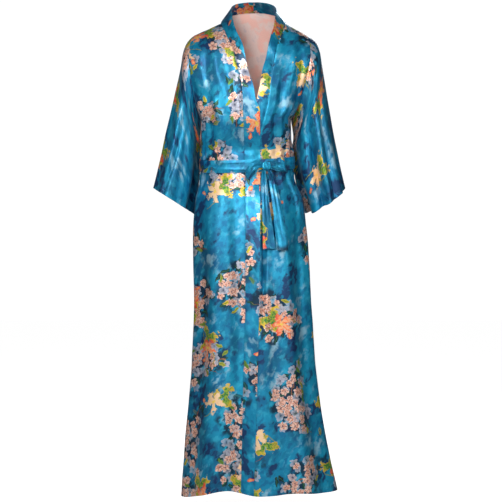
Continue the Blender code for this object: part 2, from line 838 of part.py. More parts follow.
def wall(name, points, normals, thickness, wraps, finish):
    """Makes a closed wall of cloth round a grid of points."""
    rows, columns = points.shape[:2]
    mesh_data = bmesh.new()
    layers = []
    for way in (0.5, -0.5):
        shell = points + normals * thickness * way
        layers.append([[mesh_data.verts.new(p) for p in row] for row in shell])
    outer, inner = layers
    last = columns if wraps else columns - 1
    for r in range(rows - 1):
        for c in range(last):
            n = (c + 1) % columns
            mesh_data.faces.new((outer[r][c], outer[r][n], outer[r + 1][n], outer[r + 1][c]))
            mesh_data.faces.new((inner[r][c], inner[r + 1][c], inner[r + 1][n], inner[r][n]))
    for r in (0, rows - 1):
        for c in range(last):
            n = (c + 1) % columns
            mesh_data.faces.new((outer[r][c], inner[r][c], inner[r][n], outer[r][n]))
    if not wraps:
        for c in (0, columns - 1):
            for r in range(rows - 1):
                mesh_data.faces.new(
                    (outer[r][c], outer[r + 1][c], inner[r + 1][c], inner[r][c])
                )
    bmesh.ops.recalc_face_normals(mesh_data, faces=mesh_data.faces)
    mesh = bpy.data.meshes.new(name)
    mesh_data.to_mesh(mesh)
    mesh_data.free()
    mesh.shade_smooth()
    mesh.set_sharp_from_angle(angle=math.radians(50))
    return add_object(name, mesh, finish)


def add_object(name, mesh, finish):
    """Puts a mesh into the robe's collection, with its finish."""
    piece = bpy.data.objects.new(name, mesh)
    mesh.materials.clear()
    mesh.materials.append(material_of(finish))
    bpy.data.collections[COLLECTION].objects.link(piece)
    return piece


def material_of(finish):
    """The material of a finish, made once."""
    found = bpy.data.materials.get(finish.name)
    if found:
        return found
    material = bpy.data.materials.new(finish.name)
    material.use_nodes = True
    shader = material.node_tree.nodes["Principled BSDF"]
    shader.inputs["Base Color"].default_value = finish.colour
    shader.inputs["Roughness"].default_value = finish.roughness
    shader.inputs["Metallic"].default_value = 0.0
    return material


def add_knot(centre):
    """The knot: a soft block, rounded by subdivision."""
    mesh_data = bmesh.new()
    bmesh.ops.create_cube(mesh_data, size=1.0)
    bmesh.ops.scale(
        mesh_data, vec=(KNOT_WIDTH, KNOT_DEPTH, KNOT_HEIGHT), verts=mesh_data.verts
    )
    bmesh.ops.bevel(
        mesh_data,
        geom=mesh_data.edges,
        offset=KNOT_ROUNDING * KNOT_DEPTH,
        segments=2,
        profile=KNOT_PROFILE,
        affect="EDGES",
    )
    mesh = bpy.data.meshes.new("belt_knot")
    mesh_data.to_mesh(mesh)
    mesh_data.free()
    mesh.shade_smooth()
    knot = add_object("belt_knot", mesh, SATIN_BELT)
    knot.location = centre
    return knot


class Piece(NamedTuple):
    """How a grid is made into a wall: its thickness, sewn edges and finish.

    A piece that is parted is made as two solids that meet under the belt, a skirt
    and an upper one, so that each bends round one hollow only.
    """

    thickness: float
    wraps: bool
    parted: bool
    seams: tuple
    finish: Finish


PANEL_SEAMS = ("first_column", "last_column", "last_row")
BAND_SEAMS = ("first_column", "last_row")
PIECES = {
    "back_panel": Piece(CLOTH, False, True, PANEL_SEAMS, SATIN),
    "front_right": Piece(CLOTH, False, True, PANEL_SEAMS, SATIN),
    "front_left": Piece(CLOTH, False, True, PANEL_SEAMS, SATIN),
    "sleeve_right": Piece(CLOTH, True, False, ("first_row",), SATIN),
    "sleeve_left": Piece(CLOTH, True, False, ("first_row",), SATIN),
    "neckband_right": Piece(BAND_CLOTH, False, True, BAND_SEAMS, SATIN_BAND),
    "neckband_left": Piece(BAND_CLOTH, False, True, BAND_SEAMS, SATIN_BAND),
    "belt_waist": Piece(BELT_CLOTH, True, False, (), SATIN_BELT),
    "belt_loop_right": Piece(BELT_CLOTH, False, False, (), SATIN_BELT),
    "belt_loop_left": Piece(BELT_CLOTH, False, False, (), SATIN_BELT),
    "belt_tail_right": Piece(BELT_CLOTH, False, False, (), SATIN_BELT),
    "belt_tail_left": Piece(BELT_CLOTH, False, False, (), SATIN_BELT),
}


def solids_of(name, piece):
    """The name, rows and drawn-back edges of each solid of a piece."""
    if not piece.parted:
        return [(name, slice(None), piece.seams)]
    sides = tuple(seam for seam in piece.seams if seam != "last_row")
    return [
        (name + "_skirt", slice(None, WAIST_ROW + 1), (*sides, "last_row")),
        (name + "_upper", slice(WAIST_ROW, None), ("first_row", *piece.seams)),
    ]


def body_middle(points):
    """The line inside the body that each of these points faces away from."""
    middle = points.copy()
    middle[..., 0] = -0.01
    middle[..., 1] = 0.0
    return middle


def ring_middle(points):
    """The middle of each ring of a tube."""
    return points.mean(axis=1, keepdims=True)


def build():
    """Makes every piece of the robe."""
    rows = body_rows()
    grids = {
        "front_right": front_grid(rows, -1),
        "front_left": front_grid(rows, 1),
        "back_panel": back_grid(rows),
    }
    for name, side in (("right", -1), ("left", 1)):
        front = grids["front_" + name]
        grids["neckband_" + name] = band_grid(rows, front, grids["back_panel"], side)
        grids["sleeve_" + name] = sleeve_grid(front, grids["back_panel"], side)
    grids["belt_waist"] = belt_grid(grids)
    knot = knot_centre(grids)
    grids["belt_loop_right"] = loop_grid(RIGHT_LOOP, knot)
    grids["belt_loop_left"] = loop_grid(LEFT_LOOP, knot)
    grids["belt_tail_right"] = tail_grid(RIGHT_TAIL, knot)
    grids["belt_tail_left"] = tail_grid(LEFT_TAIL, knot)
    normals = {}
    for name, points in grids.items():
        raw = grid_normals(points, PIECES[name].wraps)
        middle = ring_middle if name.startswith("sleeve") else body_middle
        normals[name] = facing(points, raw, middle(points))
    share_seams(grids, normals)
    for name, points in grids.items():
        piece = PIECES[name]
        for solid, rows_kept, seams in solids_of(name, piece):
            drawn = draw_back(points[rows_kept], seams)
            thickness, turned = piece.thickness, normals[name][rows_kept]
            wall(solid, drawn, turned, thickness, piece.wraps, piece.finish)
    add_knot(knot)


def main():
    """Clears the scene and builds the robe."""
    for old in list(bpy.data.objects):
        bpy.data.objects.remove(old, do_unlink=True)
    bpy.context.scene.collection.children.link(bpy.data.collections.new(COLLECTION))
    build()


main()
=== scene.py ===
"""Kimono robe: the cloth, its print and its sewing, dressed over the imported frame.

The wearer's right is at -X and the front faces -Y. Heights are metres from the side
neck points. Each cut piece is a thin shell on the form of its solid.
"""

import logging
import math
from dataclasses import dataclass, field
from enum import Enum
from typing import NamedTuple, Sequence

import bmesh
import bpy
import numpy as np
from bpy.types import ID, Material, Node, NodeSocket, NodeTree, Object
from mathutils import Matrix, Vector, noise


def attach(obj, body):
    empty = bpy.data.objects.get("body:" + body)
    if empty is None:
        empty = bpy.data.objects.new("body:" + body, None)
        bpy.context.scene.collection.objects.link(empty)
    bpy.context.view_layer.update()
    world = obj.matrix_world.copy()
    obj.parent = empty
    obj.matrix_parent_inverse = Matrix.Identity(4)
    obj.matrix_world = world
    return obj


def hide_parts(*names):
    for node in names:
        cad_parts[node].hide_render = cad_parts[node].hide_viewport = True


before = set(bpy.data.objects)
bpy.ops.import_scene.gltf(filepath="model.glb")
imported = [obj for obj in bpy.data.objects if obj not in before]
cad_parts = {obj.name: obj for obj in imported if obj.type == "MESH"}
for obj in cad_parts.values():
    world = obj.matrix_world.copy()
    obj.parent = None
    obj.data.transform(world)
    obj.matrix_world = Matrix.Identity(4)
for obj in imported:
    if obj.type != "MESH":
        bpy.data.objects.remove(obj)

Array = np.ndarray
Amount = Array | float
Place = tuple[float, float, float]
Colour = tuple[float, float, float, float]

MM = 0.001
log = logging.getLogger("kimono_robe")

# Heights in metres, from the side neck points down
NECK = 0.003
SHOULDER = -0.031
UNDERARM = -0.270
BELT_TOP = -0.361
BELT_FOOT = -0.426
HEM = -1.313

# Neck points and nape
NECK_RIGHT = -0.092
NECK_LEFT = 0.094
NAPE_RISE = 0.041
NAPE_DEPTH = 0.066

# How far the upper front stands out from the lower one
LAP = 3.4 * MM

# Where the shoulders start to round in, as a share of the way up the armhole
CAP_START = 0.62
# A mean radius, which turns angles round the body into lengths of cloth
GIRTH_RADIUS = 0.125
# A mean width of a panel, which sets how close its extra columns are to its seams
PANEL_WIDTH = 0.10

# How far from a seam, or from a turned edge, the grids have extra rows
SEAM_STEPS = (1.0 * MM, 2.2 * MM, 4.0 * MM)
HEM_STEPS = (1.0 * MM, 2.2 * MM, 4.0 * MM, 8.0 * MM, 11.8 * MM, 13.0 * MM, 14.2 * MM)
HEM_STITCH = 13.0 * MM
CUFF_ROWS = 18.0 * MM
# Even steps closer than this to an extra one are left out
CLEAR_STEP = 0.5 * MM

# How far up the yoke its rows change from round to straight, on the fronts and the back
FRONT_STRAIGHT = 0.4
BACK_STRAIGHT = 0.6
# How far down a sleeve its rings settle from the armhole's form to an oval
SLEEVE_SETTLE = 0.4
# Points closer than this are one point of two sheets that meet
SAME_PLACE = 0.05 * MM
# A point on the body's middle line, and which way each side lies from it
BODY_MIDDLE = np.array((-0.01, 0.0, 0.0))
SIDES = {"right": -1, "left": 1}

FULL_TURN = 6.283
# Edges between faces that meet at more than this many degrees stay sharp
SHARP_ANGLE = 60


class Edge(Enum):
    """An edge of a sheet's grid."""

    FIRST_COLUMN = "first_column"
    LAST_COLUMN = "last_column"
    FIRST_ROW = "first_row"
    LAST_ROW = "last_row"


class Held(Enum):
    """How a sheet of cloth is held."""

    HUNG = "hung"
    FOLDED = "folded"
    STRETCHED = "stretched"


def table_of(row: type, units: dict[str, float], *lines: tuple) -> tuple:
    """The rows of a table, whose columns are multiplied by their units where they have one."""
    scales = [units.get(name, 1) for name in row._fields]
    return tuple(row(*(value * scale for value, scale in zip(line, scales))) for line in lines)


class Section(NamedTuple):
    """One level of the body: its side seams, and how deep it is at the middle.

    A squareness of 2 is an ellipse, and more is squarer.
    """

    height: float
    right: float
    left: float
    front: float
    back: float
    squareness: float


SECTIONS = table_of(
    Section, {},
    (HEM, -0.201, 0.233, 0.150, 0.160, 2.3),
    (-1.140, -0.1885, 0.198, 0.138, 0.148, 2.3),
    (-0.940, -0.169, 0.172, 0.126, 0.138, 2.3),
    (-0.800, -0.166, 0.163, 0.119, 0.133, 2.3),
    (-0.600, -0.171, 0.152, 0.112, 0.128, 2.3),
    (-0.500, -0.165, 0.141, 0.105, 0.117, 2.3),
    (BELT_FOOT, -0.150, 0.114, 0.093, 0.094, 2.3),
    (BELT_TOP, -0.150, 0.114, 0.093, 0.090, 2.3),
    (-0.320, -0.150, 0.107, 0.107, 0.094, 2.6),
    (UNDERARM, -0.149, 0.106, 0.117, 0.100, 3.2),
    (-0.190, -0.165, 0.130, 0.120, 0.104, 3.1),
    (-0.100, -0.178, 0.150, 0.104, 0.100, 2.7),
    (NECK, -0.178, 0.158, 0.078, 0.086, 2.3),
)


class Armhole(NamedTuple):
    """The sleeve seam, from the underarm (rise 0) to the shoulder (rise 1)."""

    rise: float
    right: float
    left: float
    front: float
    back: float


ARMHOLES = table_of(
    Armhole, {},
    (0.00, -0.149, 0.106, 0.000, 0.000),
    (0.07, -0.155, 0.117, 0.034, 0.036),
    (0.18, -0.163, 0.129, 0.056, 0.060),
    (0.34, -0.170, 0.139, 0.070, 0.074),
    (0.52, -0.176, 0.151, 0.076, 0.080),
    (0.75, -0.180, 0.159, 0.074, 0.078),
    (0.90, -0.1775, 0.157, 0.066, 0.070),
    (1.00, -0.171, 0.152, 0.058, 0.062),
)


class FrontEdge(NamedTuple):
    """Where a front ends at its neckband, and where the band ends."""

    height: float
    seam: float
    edge: float


# The wearer's right front lies on top
RIGHT_EDGE = table_of(
    FrontEdge, {},
    (HEM, -0.0345, 0.001),
    (-1.050, -0.029, 0.009),
    (-0.775, -0.0225, 0.0155),
    (-0.530, -0.022, 0.018),
    (-0.400, -0.024, 0.018),
    (-0.300, -0.027, 0.017),
    (-0.250, -0.029, 0.0165),
    (-0.223, -0.0295, 0.0065),
    (-0.178, -0.0325, -0.0014),
    (-0.144, -0.0411, -0.0136),
    (-0.109, -0.0496, -0.0213),
    (-0.079, -0.0581, -0.030),
    (-0.059, -0.0652, -0.043),
    (-0.036, -0.0760, -0.054),
    (NECK, NECK_RIGHT, -0.0625),
)

# The wearer's left front lies beneath
LEFT_EDGE = table_of(
    FrontEdge, {},
    (HEM, -0.006, -0.046),
    (-0.530, -0.008, -0.048),
    (-0.400, 0.000, -0.040),
    (-0.330, 0.014, -0.024),
    (-0.260, 0.033, -0.003),
    (-0.217, 0.0425, 0.0094),
    (-0.168, 0.0476, 0.0198),
    (-0.139, 0.0520, 0.0241),
    (-0.109, 0.0581, 0.034),
    (-0.079, 0.0640, 0.042),
    (-0.059, 0.0685, 0.049),
    (-0.036, 0.0780, 0.0575),
    (NECK, NECK_LEFT, 0.0645),
)


class Lean(NamedTuple):
    """How far the neckband's free edge stands in front of and above its seam."""

    height: float
    forward: float
    up: float


LEANS = table_of(
    Lean, {},
    (-0.150, 0.006, 0.000),
    (-0.109, 0.007, 0.004),
    (-0.079, 0.008, 0.014),
    (-0.059, 0.010, 0.021),
    (-0.036, 0.013, 0.028),
    (NECK, 0.010, 0.033),
)
# At the centre back the band leans in, towards the neck
NAPE_LEAN = Lean(NECK, 0.029, 0.026)
SIDE_LEAN_ACROSS = 0.0295
LEAN_START = -0.150
LEAN_FULL = -0.085


class Fold(NamedTuple):
    """A ridge (depth over 0) or trough that runs along the body, a sleeve or the belt.

    On the body start and end are heights and the places are degrees round it: 0 at the
    front, 90 at the wearer's left side. On a sleeve start and end are shares of the way
    down it, and the places are degrees round it: 0 at its outer line, 90 at its front.
    On the belt they are shares of the way along it, and the places run from -1 at one
    edge to 1 at the other.
    """

    start: float
    end: float
    place_start: float
    place_end: float
    half_width: float
    depth: float


SKIRT_TOP = BELT_FOOT
FOLDS = table_of(
    Fold, {"depth": MM},
    (SKIRT_TOP, HEM - 0.5, -76, -82, 11, 7),
    (SKIRT_TOP, HEM - 0.4, -56, -61, 13, -8),
    (SKIRT_TOP, HEM - 0.6, -38, -42, 11, 6),
    (SKIRT_TOP, HEM - 0.2, -22, -25, 10, -5),
    (SKIRT_TOP, HEM - 0.5, 20, 22, 11, -7),
    (SKIRT_TOP, HEM - 0.4, 36, 41, 11, 7),
    (SKIRT_TOP, HEM - 0.6, 54, 60, 12, -8),
    (SKIRT_TOP, HEM - 0.3, 74, 78, 11, 7),
    (SKIRT_TOP, HEM - 0.5, 97, 102, 12, -6),
    (SKIRT_TOP, HEM - 0.4, 116, 121, 12, 8),
    (SKIRT_TOP, HEM - 0.6, 137, 140, 13, -8),
    (SKIRT_TOP, HEM - 0.3, 158, 159, 12, 7),
    (SKIRT_TOP, HEM - 0.5, 181, 179, 13, -8),
    (SKIRT_TOP, HEM - 0.4, 203, 200, 12, 8),
    (SKIRT_TOP, HEM - 0.5, 224, 219, 13, -7),
    (SKIRT_TOP, HEM - 0.4, 246, 240, 12, 7),
    (SKIRT_TOP, -0.62, -88, -90, 8, -4),
    (SKIRT_TOP, -0.56, 60, 64, 7, 4),
    (-0.18, BELT_TOP, -46, -50, 11, -6),
    (-0.20, BELT_TOP, -66, -70, 9, 5),
    (-0.16, BELT_TOP, 40, 44, 11, -6),
    (-0.22, BELT_TOP, 62, 66, 9, 5),
    (-0.20, BELT_TOP, 132, 140, 12, -6),
    (-0.16, BELT_TOP, 160, 163, 12, 5),
    (-0.12, BELT_TOP, 186, 183, 12, -5),
    (-0.18, BELT_TOP, 214, 207, 12, 6),
    (-0.22, BELT_TOP, 236, 228, 11, -5),
)


class Crease(NamedTuple):
    """A crease on one face of the body, from (x0, z0) to (x1, z1) as seen on it.

    face is -1 for the front and 1 for the back. depth over 0 is a ridge. bow is how
    far the crease's middle lies off the straight line.
    """

    face: int
    x0: float
    z0: float
    x1: float
    z1: float
    half_width: float
    depth: float
    bow: float


CREASES = table_of(
    Crease, {"half_width": MM, "depth": MM, "bow": MM},
    # From the wearer's right shoulder down and in, over the chest
    (-1, -0.128, -0.052, -0.106, -0.235, 12, -4.0, -8),
    (-1, -0.104, -0.060, -0.080, -0.210, 10, 3.2, -6),
    (-1, -0.082, -0.085, -0.062, -0.260, 9, -2.6, 5),
    (-1, -0.120, -0.200, -0.086, -0.330, 10, 3.4, 6),
    (-1, -0.136, -0.225, -0.118, -0.352, 8, -3.6, 3),
    (-1, -0.070, -0.245, -0.056, -0.352, 8, -2.6, -3),
    (-1, -0.044, -0.205, -0.038, -0.345, 7, 2.0, 3),
    # From the wearer's left shoulder
    (-1, 0.124, -0.055, 0.098, -0.255, 11, -4.0, 8),
    (-1, 0.106, -0.048, 0.078, -0.225, 10, 3.4, 7),
    (-1, 0.084, -0.072, 0.066, -0.250, 9, -2.6, -4),
    (-1, 0.096, -0.215, 0.080, -0.345, 8, 3.2, -4),
    (-1, 0.066, -0.235, 0.060, -0.355, 7, -3.0, 3),
    (-1, 0.048, -0.255, 0.046, -0.352, 6, 2.0, 0),
    # On the front beneath, beside the overlap's edge and between the belt's ends
    (-1, 0.0240, -0.428, 0.0235, -0.880, 5.0, -15.0, 1),
    (-1, 0.0400, -0.428, 0.0600, -0.640, 5.0, -13.0, 2),
    (-1, 0.0520, -0.440, 0.0760, -0.660, 6.0, 4.0, 2),
    # Back: across the shoulder blades and down to the belt
    (1, -0.120, -0.070, -0.070, -0.240, 14, -3.6, 10),
    (1, -0.075, -0.055, -0.040, -0.260, 12, 3.0, 8),
    (1, 0.110, -0.065, 0.060, -0.250, 13, -3.8, -9),
    (1, 0.070, -0.050, 0.030, -0.235, 12, 3.0, -6),
    (1, -0.010, -0.110, -0.016, -0.330, 12, -2.6, 4),
    (1, -0.110, -0.230, -0.080, -0.350, 9, 3.0, 5),
    (1, 0.080, -0.230, 0.064, -0.350, 9, -3.0, -4),
)


class Gather(NamedTuple):
    """A small pucker where the belt draws the cloth in.

    above and below are how far it reaches past the belt's edges.
    """

    angle: float
    half_width: float
    above: float
    below: float
    depth: float


GATHERS = table_of(
    Gather, {"depth": MM},
    (-86, 3.2, 0.050, 0.070, 3.4),
    (-79, 3.0, 0.064, 0.052, -2.6),
    (-72, 3.4, 0.046, 0.080, 3.0),
    (-64, 3.0, 0.070, 0.050, -2.4),
    (-57, 3.6, 0.040, 0.060, 2.4),
    (-48, 3.2, 0.060, 0.044, -2.2),
    (-39, 3.6, 0.036, 0.050, 1.8),
    (-29, 3.4, 0.044, 0.036, -1.6),
    (-17, 3.4, 0.030, 0.042, 1.4),
    (13, 3.4, 0.034, 0.050, -1.6),
    (28, 3.4, 0.040, 0.044, 1.8),
    (37, 3.0, 0.054, 0.062, -2.2),
    (46, 3.2, 0.040, 0.080, 2.6),
    (54, 3.0, 0.064, 0.060, -2.6),
    (62, 3.2, 0.052, 0.090, 3.2),
    (70, 3.0, 0.070, 0.064, -3.0),
    (78, 3.4, 0.050, 0.076, 3.2),
    (86, 3.0, 0.060, 0.050, -2.6),
    (97, 3.6, 0.044, 0.060, 2.6),
    (108, 3.4, 0.060, 0.074, -2.4),
    (120, 3.8, 0.046, 0.056, 2.4),
    (131, 3.4, 0.066, 0.080, -2.6),
    (143, 3.8, 0.040, 0.060, 2.2),
    (156, 3.4, 0.058, 0.070, -2.2),
    (170, 3.8, 0.050, 0.050, 2.4),
    (183, 3.6, 0.044, 0.076, -2.4),
    (196, 3.6, 0.060, 0.060, 2.2),
    (208, 3.4, 0.048, 0.070, -2.4),
    (221, 3.8, 0.056, 0.054, 2.4),
    (233, 3.4, 0.044, 0.080, -2.4),
    (246, 3.6, 0.062, 0.060, 2.6),
    (258, 3.4, 0.050, 0.070, -2.8),
)


class HemPoint(NamedTuple):
    """How far the hem lies above its level at an angle round the body."""

    angle: float
    rise: float


HEM_WAVE = table_of(
    HemPoint, {"rise": MM},
    (-90, -13),
    (-75, -15),
    (-50, -4),
    (-22, 14),
    (0, 0.0),
    (30, 6),
    (60, 1),
    (90, 4),
    (138, -7),
    (188, 7),
    (222, -1),
    (255, -10),
    (270, -13),
)


class SleeveLine(NamedTuple):
    """One station down a sleeve: its outer line, and how deep it is."""

    along: float
    right_x: float
    right_z: float
    left_x: float
    left_z: float
    half_depth: float


SLEEVE_LINES = table_of(
    SleeveLine, {},
    (0.00, -0.171, -0.031, 0.152, -0.031, 0.080),
    (0.05, -0.188, -0.050, 0.176, -0.050, 0.080),
    (0.10, -0.197, -0.073, 0.186, -0.073, 0.081),
    (0.20, -0.2060, -0.119, 0.194, -0.119, 0.083),
    (0.40, -0.2260, -0.210, 0.211, -0.210, 0.087),
    (0.60, -0.2450, -0.300, 0.2265, -0.300, 0.092),
    (0.80, -0.2660, -0.391, 0.2455, -0.391, 0.096),
    (1.00, -0.2835, -0.462, 0.2610, -0.459, 0.100),
)
RIGHT_CUFF_INNER = (-0.169, -0.534)
LEFT_CUFF_INNER = (0.149, -0.530)
# The front of the left cuff hangs below the line between its corners
LEFT_CUFF_SAG = 17 * MM
SLEEVE_SWING = 0.020
SLEEVE_TUCK = 0.052
# Beside the belt a sleeve's inner line keeps this much closer to the body's side
RIGHT_CLING = 6.5 * MM
LEFT_CLING = 12.5 * MM


SLEEVE_FOLDS = table_of(
    Fold, {"depth": MM},
    (0.10, 1.4, 34, 28, 18, -8),
    (0.06, 1.5, 62, 66, 18, 8),
    (0.12, 1.4, 92, 100, 18, -9),
    (0.16, 1.5, 124, 132, 18, 7),
    (0.12, 1.4, 318, 322, 18, 7),
    (0.08, 1.5, 284, 290, 18, -8),
    (0.14, 1.4, 252, 256, 18, 8),
    (0.18, 1.5, 222, 224, 16, -6),
)


# Creases that only the cloth has: broad facets on the right sleeve, long ridges on the left
SLEEVE_CREASES = {
    "right": table_of(
        Fold, {"depth": MM},
        (0.10, 1.60, 26.0, 22.0, 20.0, 6),
        (0.16, 1.60, 84.0, 48.0, 10.0, -9),
        (0.12, 1.60, 98.0, 96.0, 30.0, 7),
        (0.16, 1.60, 144.0, 148.0, 27.0, -20),
        (0.28, 1.40, 268.0, 262.0, 12.0, -4),
        (0.18, 1.30, 236.0, 240.0, 11.0, 4),
    ),
    "left": table_of(
        Fold, {"depth": MM},
        (0.05, 1.60, 34.0, 42.0, 17.0, 8),
        (0.02, 1.60, 56.0, 70.0, 13.0, -12),
        (0.04, 1.50, 74.0, 88.0, 15.0, 9),
        (0.08, 1.50, 92.0, 106.0, 12.0, -10),
        (0.12, 1.60, 116.0, 122.0, 15.0, 7),
        (0.14, 1.60, 152.0, 152.0, 24.0, -16),
        (0.10, 1.20, 296.0, 284.0, 12.0, 4),
        (0.20, 1.40, 264.0, 258.0, 11.0, -5),
    ),
}


class RibbonPoint(NamedTuple):
    """A station on a bow loop, seen from the front, from the knot's centre.

    out is how far it stands in front of the knot's middle, and turn is the angle of
    the ribbon's width from level, in degrees.
    """

    across: float
    out: float
    up: float
    turn: float
    width: float


BOW_UNITS = dict.fromkeys(("across", "out", "up", "width", "drop", "off"), MM)
RIGHT_LOOP = table_of(
    RibbonPoint, BOW_UNITS,
    (-11.5, 3.0, 2.0, 92, 14),
    (-24, 9, 4, 94, 22),
    (-37, 12, -2, 98, 28),
    (-49, 9.5, -15, 101, 28),
    (-56, 4, -25, 102, 26),
    (-51, -0.5, -24, 100, 27),
    (-37, -1.5, -14, 97, 27),
    (-25, -1.5, -5.5, 94, 21),
    (-11.5, -2.5, -1, 92, 14),
)
LEFT_LOOP = table_of(
    RibbonPoint, BOW_UNITS,
    (11.5, 3.0, 2.0, 90, 14),
    (24, 10, 5, 92, 25),
    (36, 15, 6, 96, 34),
    (47, 13, 3, 100, 36),
    (52, 7, 1, 102, 35),
    (47, 2, 1, 100, 34),
    (36, 0, 1, 96, 31),
    (24, -1, 0, 92, 24),
    (11.5, -2.5, -1, 90, 14),
)


class TailPoint(NamedTuple):
    """A station down a hanging end: from the knot's foot, and off the skirt."""

    drop: float
    across: float
    width: float
    off: float


RIGHT_TAIL = table_of(
    TailPoint, BOW_UNITS,
    (0.3, -7, 10, 9),
    (10, -7.5, 12, 9),
    (50, -5.5, 16, 8),
    (115, -1, 23, 8),
    (175, 4.5, 30, 8.5),
    (218, 7, 34, 9.5),
)
LEFT_TAIL = table_of(
    TailPoint, BOW_UNITS,
    (0.3, 7, 10, 10),
    (10, 12, 14, 10),
    (50, 20, 21, 10),
    (115, 32, 27, 10.5),
    (190, 41, 31, 11),
    (222, 43.5, 30, 12),
)


# Where an end or a loop starts outside 0 to 1, the crease runs on under the knot
WAIST_CREASES = table_of(
    Fold, {"depth": MM},
    (0.02, 0.30, 0.45, -0.10, 0.16, 1.1),
    (0.05, 0.42, -0.35, 0.30, 0.13, -0.9),
    (0.16, 0.50, 0.70, 0.40, 0.12, 0.9),
    (0.30, 0.55, -0.65, -0.20, 0.14, 1.0),
    (0.48, 0.80, 0.30, -0.45, 0.16, 1.0),
    (0.58, 0.92, -0.50, 0.15, 0.13, -0.8),
    (0.70, 0.99, 0.55, 0.65, 0.12, 0.9),
    (0.82, 1.02, -0.30, -0.60, 0.14, 0.8),
)
LOOP_CREASES = table_of(
    Fold, {"depth": MM},
    (-0.2, 0.55, -0.52, -0.70, 0.17, 1.6),
    (-0.2, 0.42, -0.10, -0.30, 0.15, -1.5),
    (-0.2, 0.60, 0.30, 0.22, 0.16, 1.7),
    (-0.2, 0.36, 0.66, 0.62, 0.13, -1.2),
    (0.55, 1.20, 0.30, -0.10, 0.16, 1.2),
    (0.62, 1.20, -0.55, -0.40, 0.16, -1.2),
    (0.30, 0.72, 0.60, -0.45, 0.18, 0.9),
)
TAIL_CREASES = table_of(
    Fold, {"depth": MM},
    (-0.4, 0.75, -0.35, -0.55, 0.20, 1.5),
    (-0.4, 0.50, 0.10, 0.02, 0.16, -1.5),
    (-0.4, 0.95, 0.52, 0.30, 0.20, 1.3),
    (0.35, 1.15, -0.10, 0.45, 0.17, -1.0),
    (0.55, 1.25, -0.60, -0.50, 0.20, 0.9),
)


class Curve:
    """A curve that runs smoothly through its values and never past them."""

    def __init__(self, places: Sequence[float], values: Sequence[float]) -> None:
        """Fits the curve.

        Args:
            places: where the values are, in rising order.
            values: the value at each place.
        """
        self.places = np.asarray(places, float)
        self.values = np.asarray(values, float)
        self.steps = np.diff(self.places)
        slopes = np.diff(self.values) / self.steps
        self.tangents = np.zeros(len(self.places))
        self.tangents[0], self.tangents[-1] = slopes[0], slopes[-1]
        for i in range(1, len(self.places) - 1):
            if slopes[i - 1] * slopes[i] > 0:
                before = 2 * self.steps[i] + self.steps[i - 1]
                after = self.steps[i] + 2 * self.steps[i - 1]
                self.tangents[i] = (before + after) / (
                    before / slopes[i - 1] + after / slopes[i]
                )

    def __call__(self, place: Amount) -> Array:
        """The value at each place, held level past either end.

        Args:
            place: a place or an array of places.

        Returns:
            The value there, with the shape of place.
        """
        place = np.clip(place, self.places[0], self.places[-1])
        i = np.searchsorted(self.places, place, side="right") - 1
        i = np.clip(i, 0, len(self.places) - 2)
        step = self.steps[i]
        t = (place - self.places[i]) / step
        start = self.values[i] * (1 + 2 * t) * (1 - t) ** 2
        start = start + self.tangents[i] * step * t * (1 - t) ** 2
        end = self.values[i + 1] * t * t * (3 - 2 * t)
        return start + end - self.tangents[i + 1] * step * t * t * (1 - t)


def curves_of(table: Sequence[NamedTuple], places: Sequence[float] = ()) -> dict[str, Curve]:
    """A smooth curve for each column of a table.

    Args:
        table: rows with named columns.
        places: where the rows are. Without them the first column says it.

    Returns:
        The curves by column name.
    """
    columns = dict(zip(table[0]._fields, zip(*table)))
    if not len(places):
        places = columns.pop(table[0]._fields[0])
    return {name: Curve(places, values) for name, values in columns.items()}


def ease(value: Amount) -> Amount:
    """0 below 0, 1 above 1, and an even S between."""
    value = np.clip(value, 0.0, 1.0)
    return value * value * (3 - 2 * value)


def mix(first: Amount, second: Amount, share: Amount) -> Amount:
    """The value that lies this share of the way from first to second."""
    return first + (second - first) * share


def turn_from(middle: Amount, angle: Array) -> Array:
    """How far an angle lies from a middle one, from -180 to 180 degrees."""
    return (angle - middle + 180) % 360 - 180


def unit(vectors: Array) -> Array:
    """The same directions, each one long."""
    return vectors / np.linalg.norm(vectors, axis=-1, keepdims=True)


def closed(line: Array) -> Array:
    """A line with its first point again at the end."""
    return np.concatenate((line, line[:1]))


def grid_of(x: Amount, y: Amount, z: Amount) -> Array:
    """Points from their coordinates, which are spread to one shape."""
    return np.stack(np.broadcast_arrays(x, y, z), axis=-1)


def fold_lift(
    folds: Sequence[Fold], angle: Amount, along: Amount, grow: float, fade: float | None = None
) -> Array:
    """How far some folds together move the cloth out.

    Args:
        folds: the folds.
        angle: degrees round the form.
        along: where the points are between the folds' starts and ends.
        grow: how quickly a fold grows from its start, in whole depths over its length.
        fade: how quickly it fades to its end, or None where it runs on.

    Returns:
        The lift in metres.
    """
    lift = np.zeros(np.broadcast(angle, along).shape)
    for fold in folds:
        down = (along - fold.start) / (fold.end - fold.start)
        away = turn_from(mix(fold.place_start, fold.place_end, down), angle)
        across = np.cos(math.pi * np.clip(away / fold.half_width, -1, 1) / 2) ** 2
        ends = ease(down * grow) * (ease((1 - down) * fade) if fade else 1.0)
        lift += fold.depth * across * ends
    return lift


def fine_ends(
    count: int, length: float, start: Sequence[float] = (), end: Sequence[float] = ()
) -> Array:
    """Shares from 0 to 1 with extra steps close to the sewn ends.

    Args:
        count: even steps between.
        length: the length in metres that 0 to 1 stands for.
        start: how far in from 0 the extra steps there lie, in metres.
        end: how far in from 1 the extra steps there lie.

    Returns:
        The shares, in rising order.
    """
    extra = np.concatenate((np.array(start) / length, 1 - np.array(end) / length))
    plain = np.linspace(0, 1, count + 1)
    if len(extra):
        clear = np.abs(plain[:, None] - extra[None]).min(axis=1) * length > CLEAR_STEP
        clear[[0, -1]] = True
        plain = plain[clear]
    return np.sort(np.concatenate((plain, extra)))


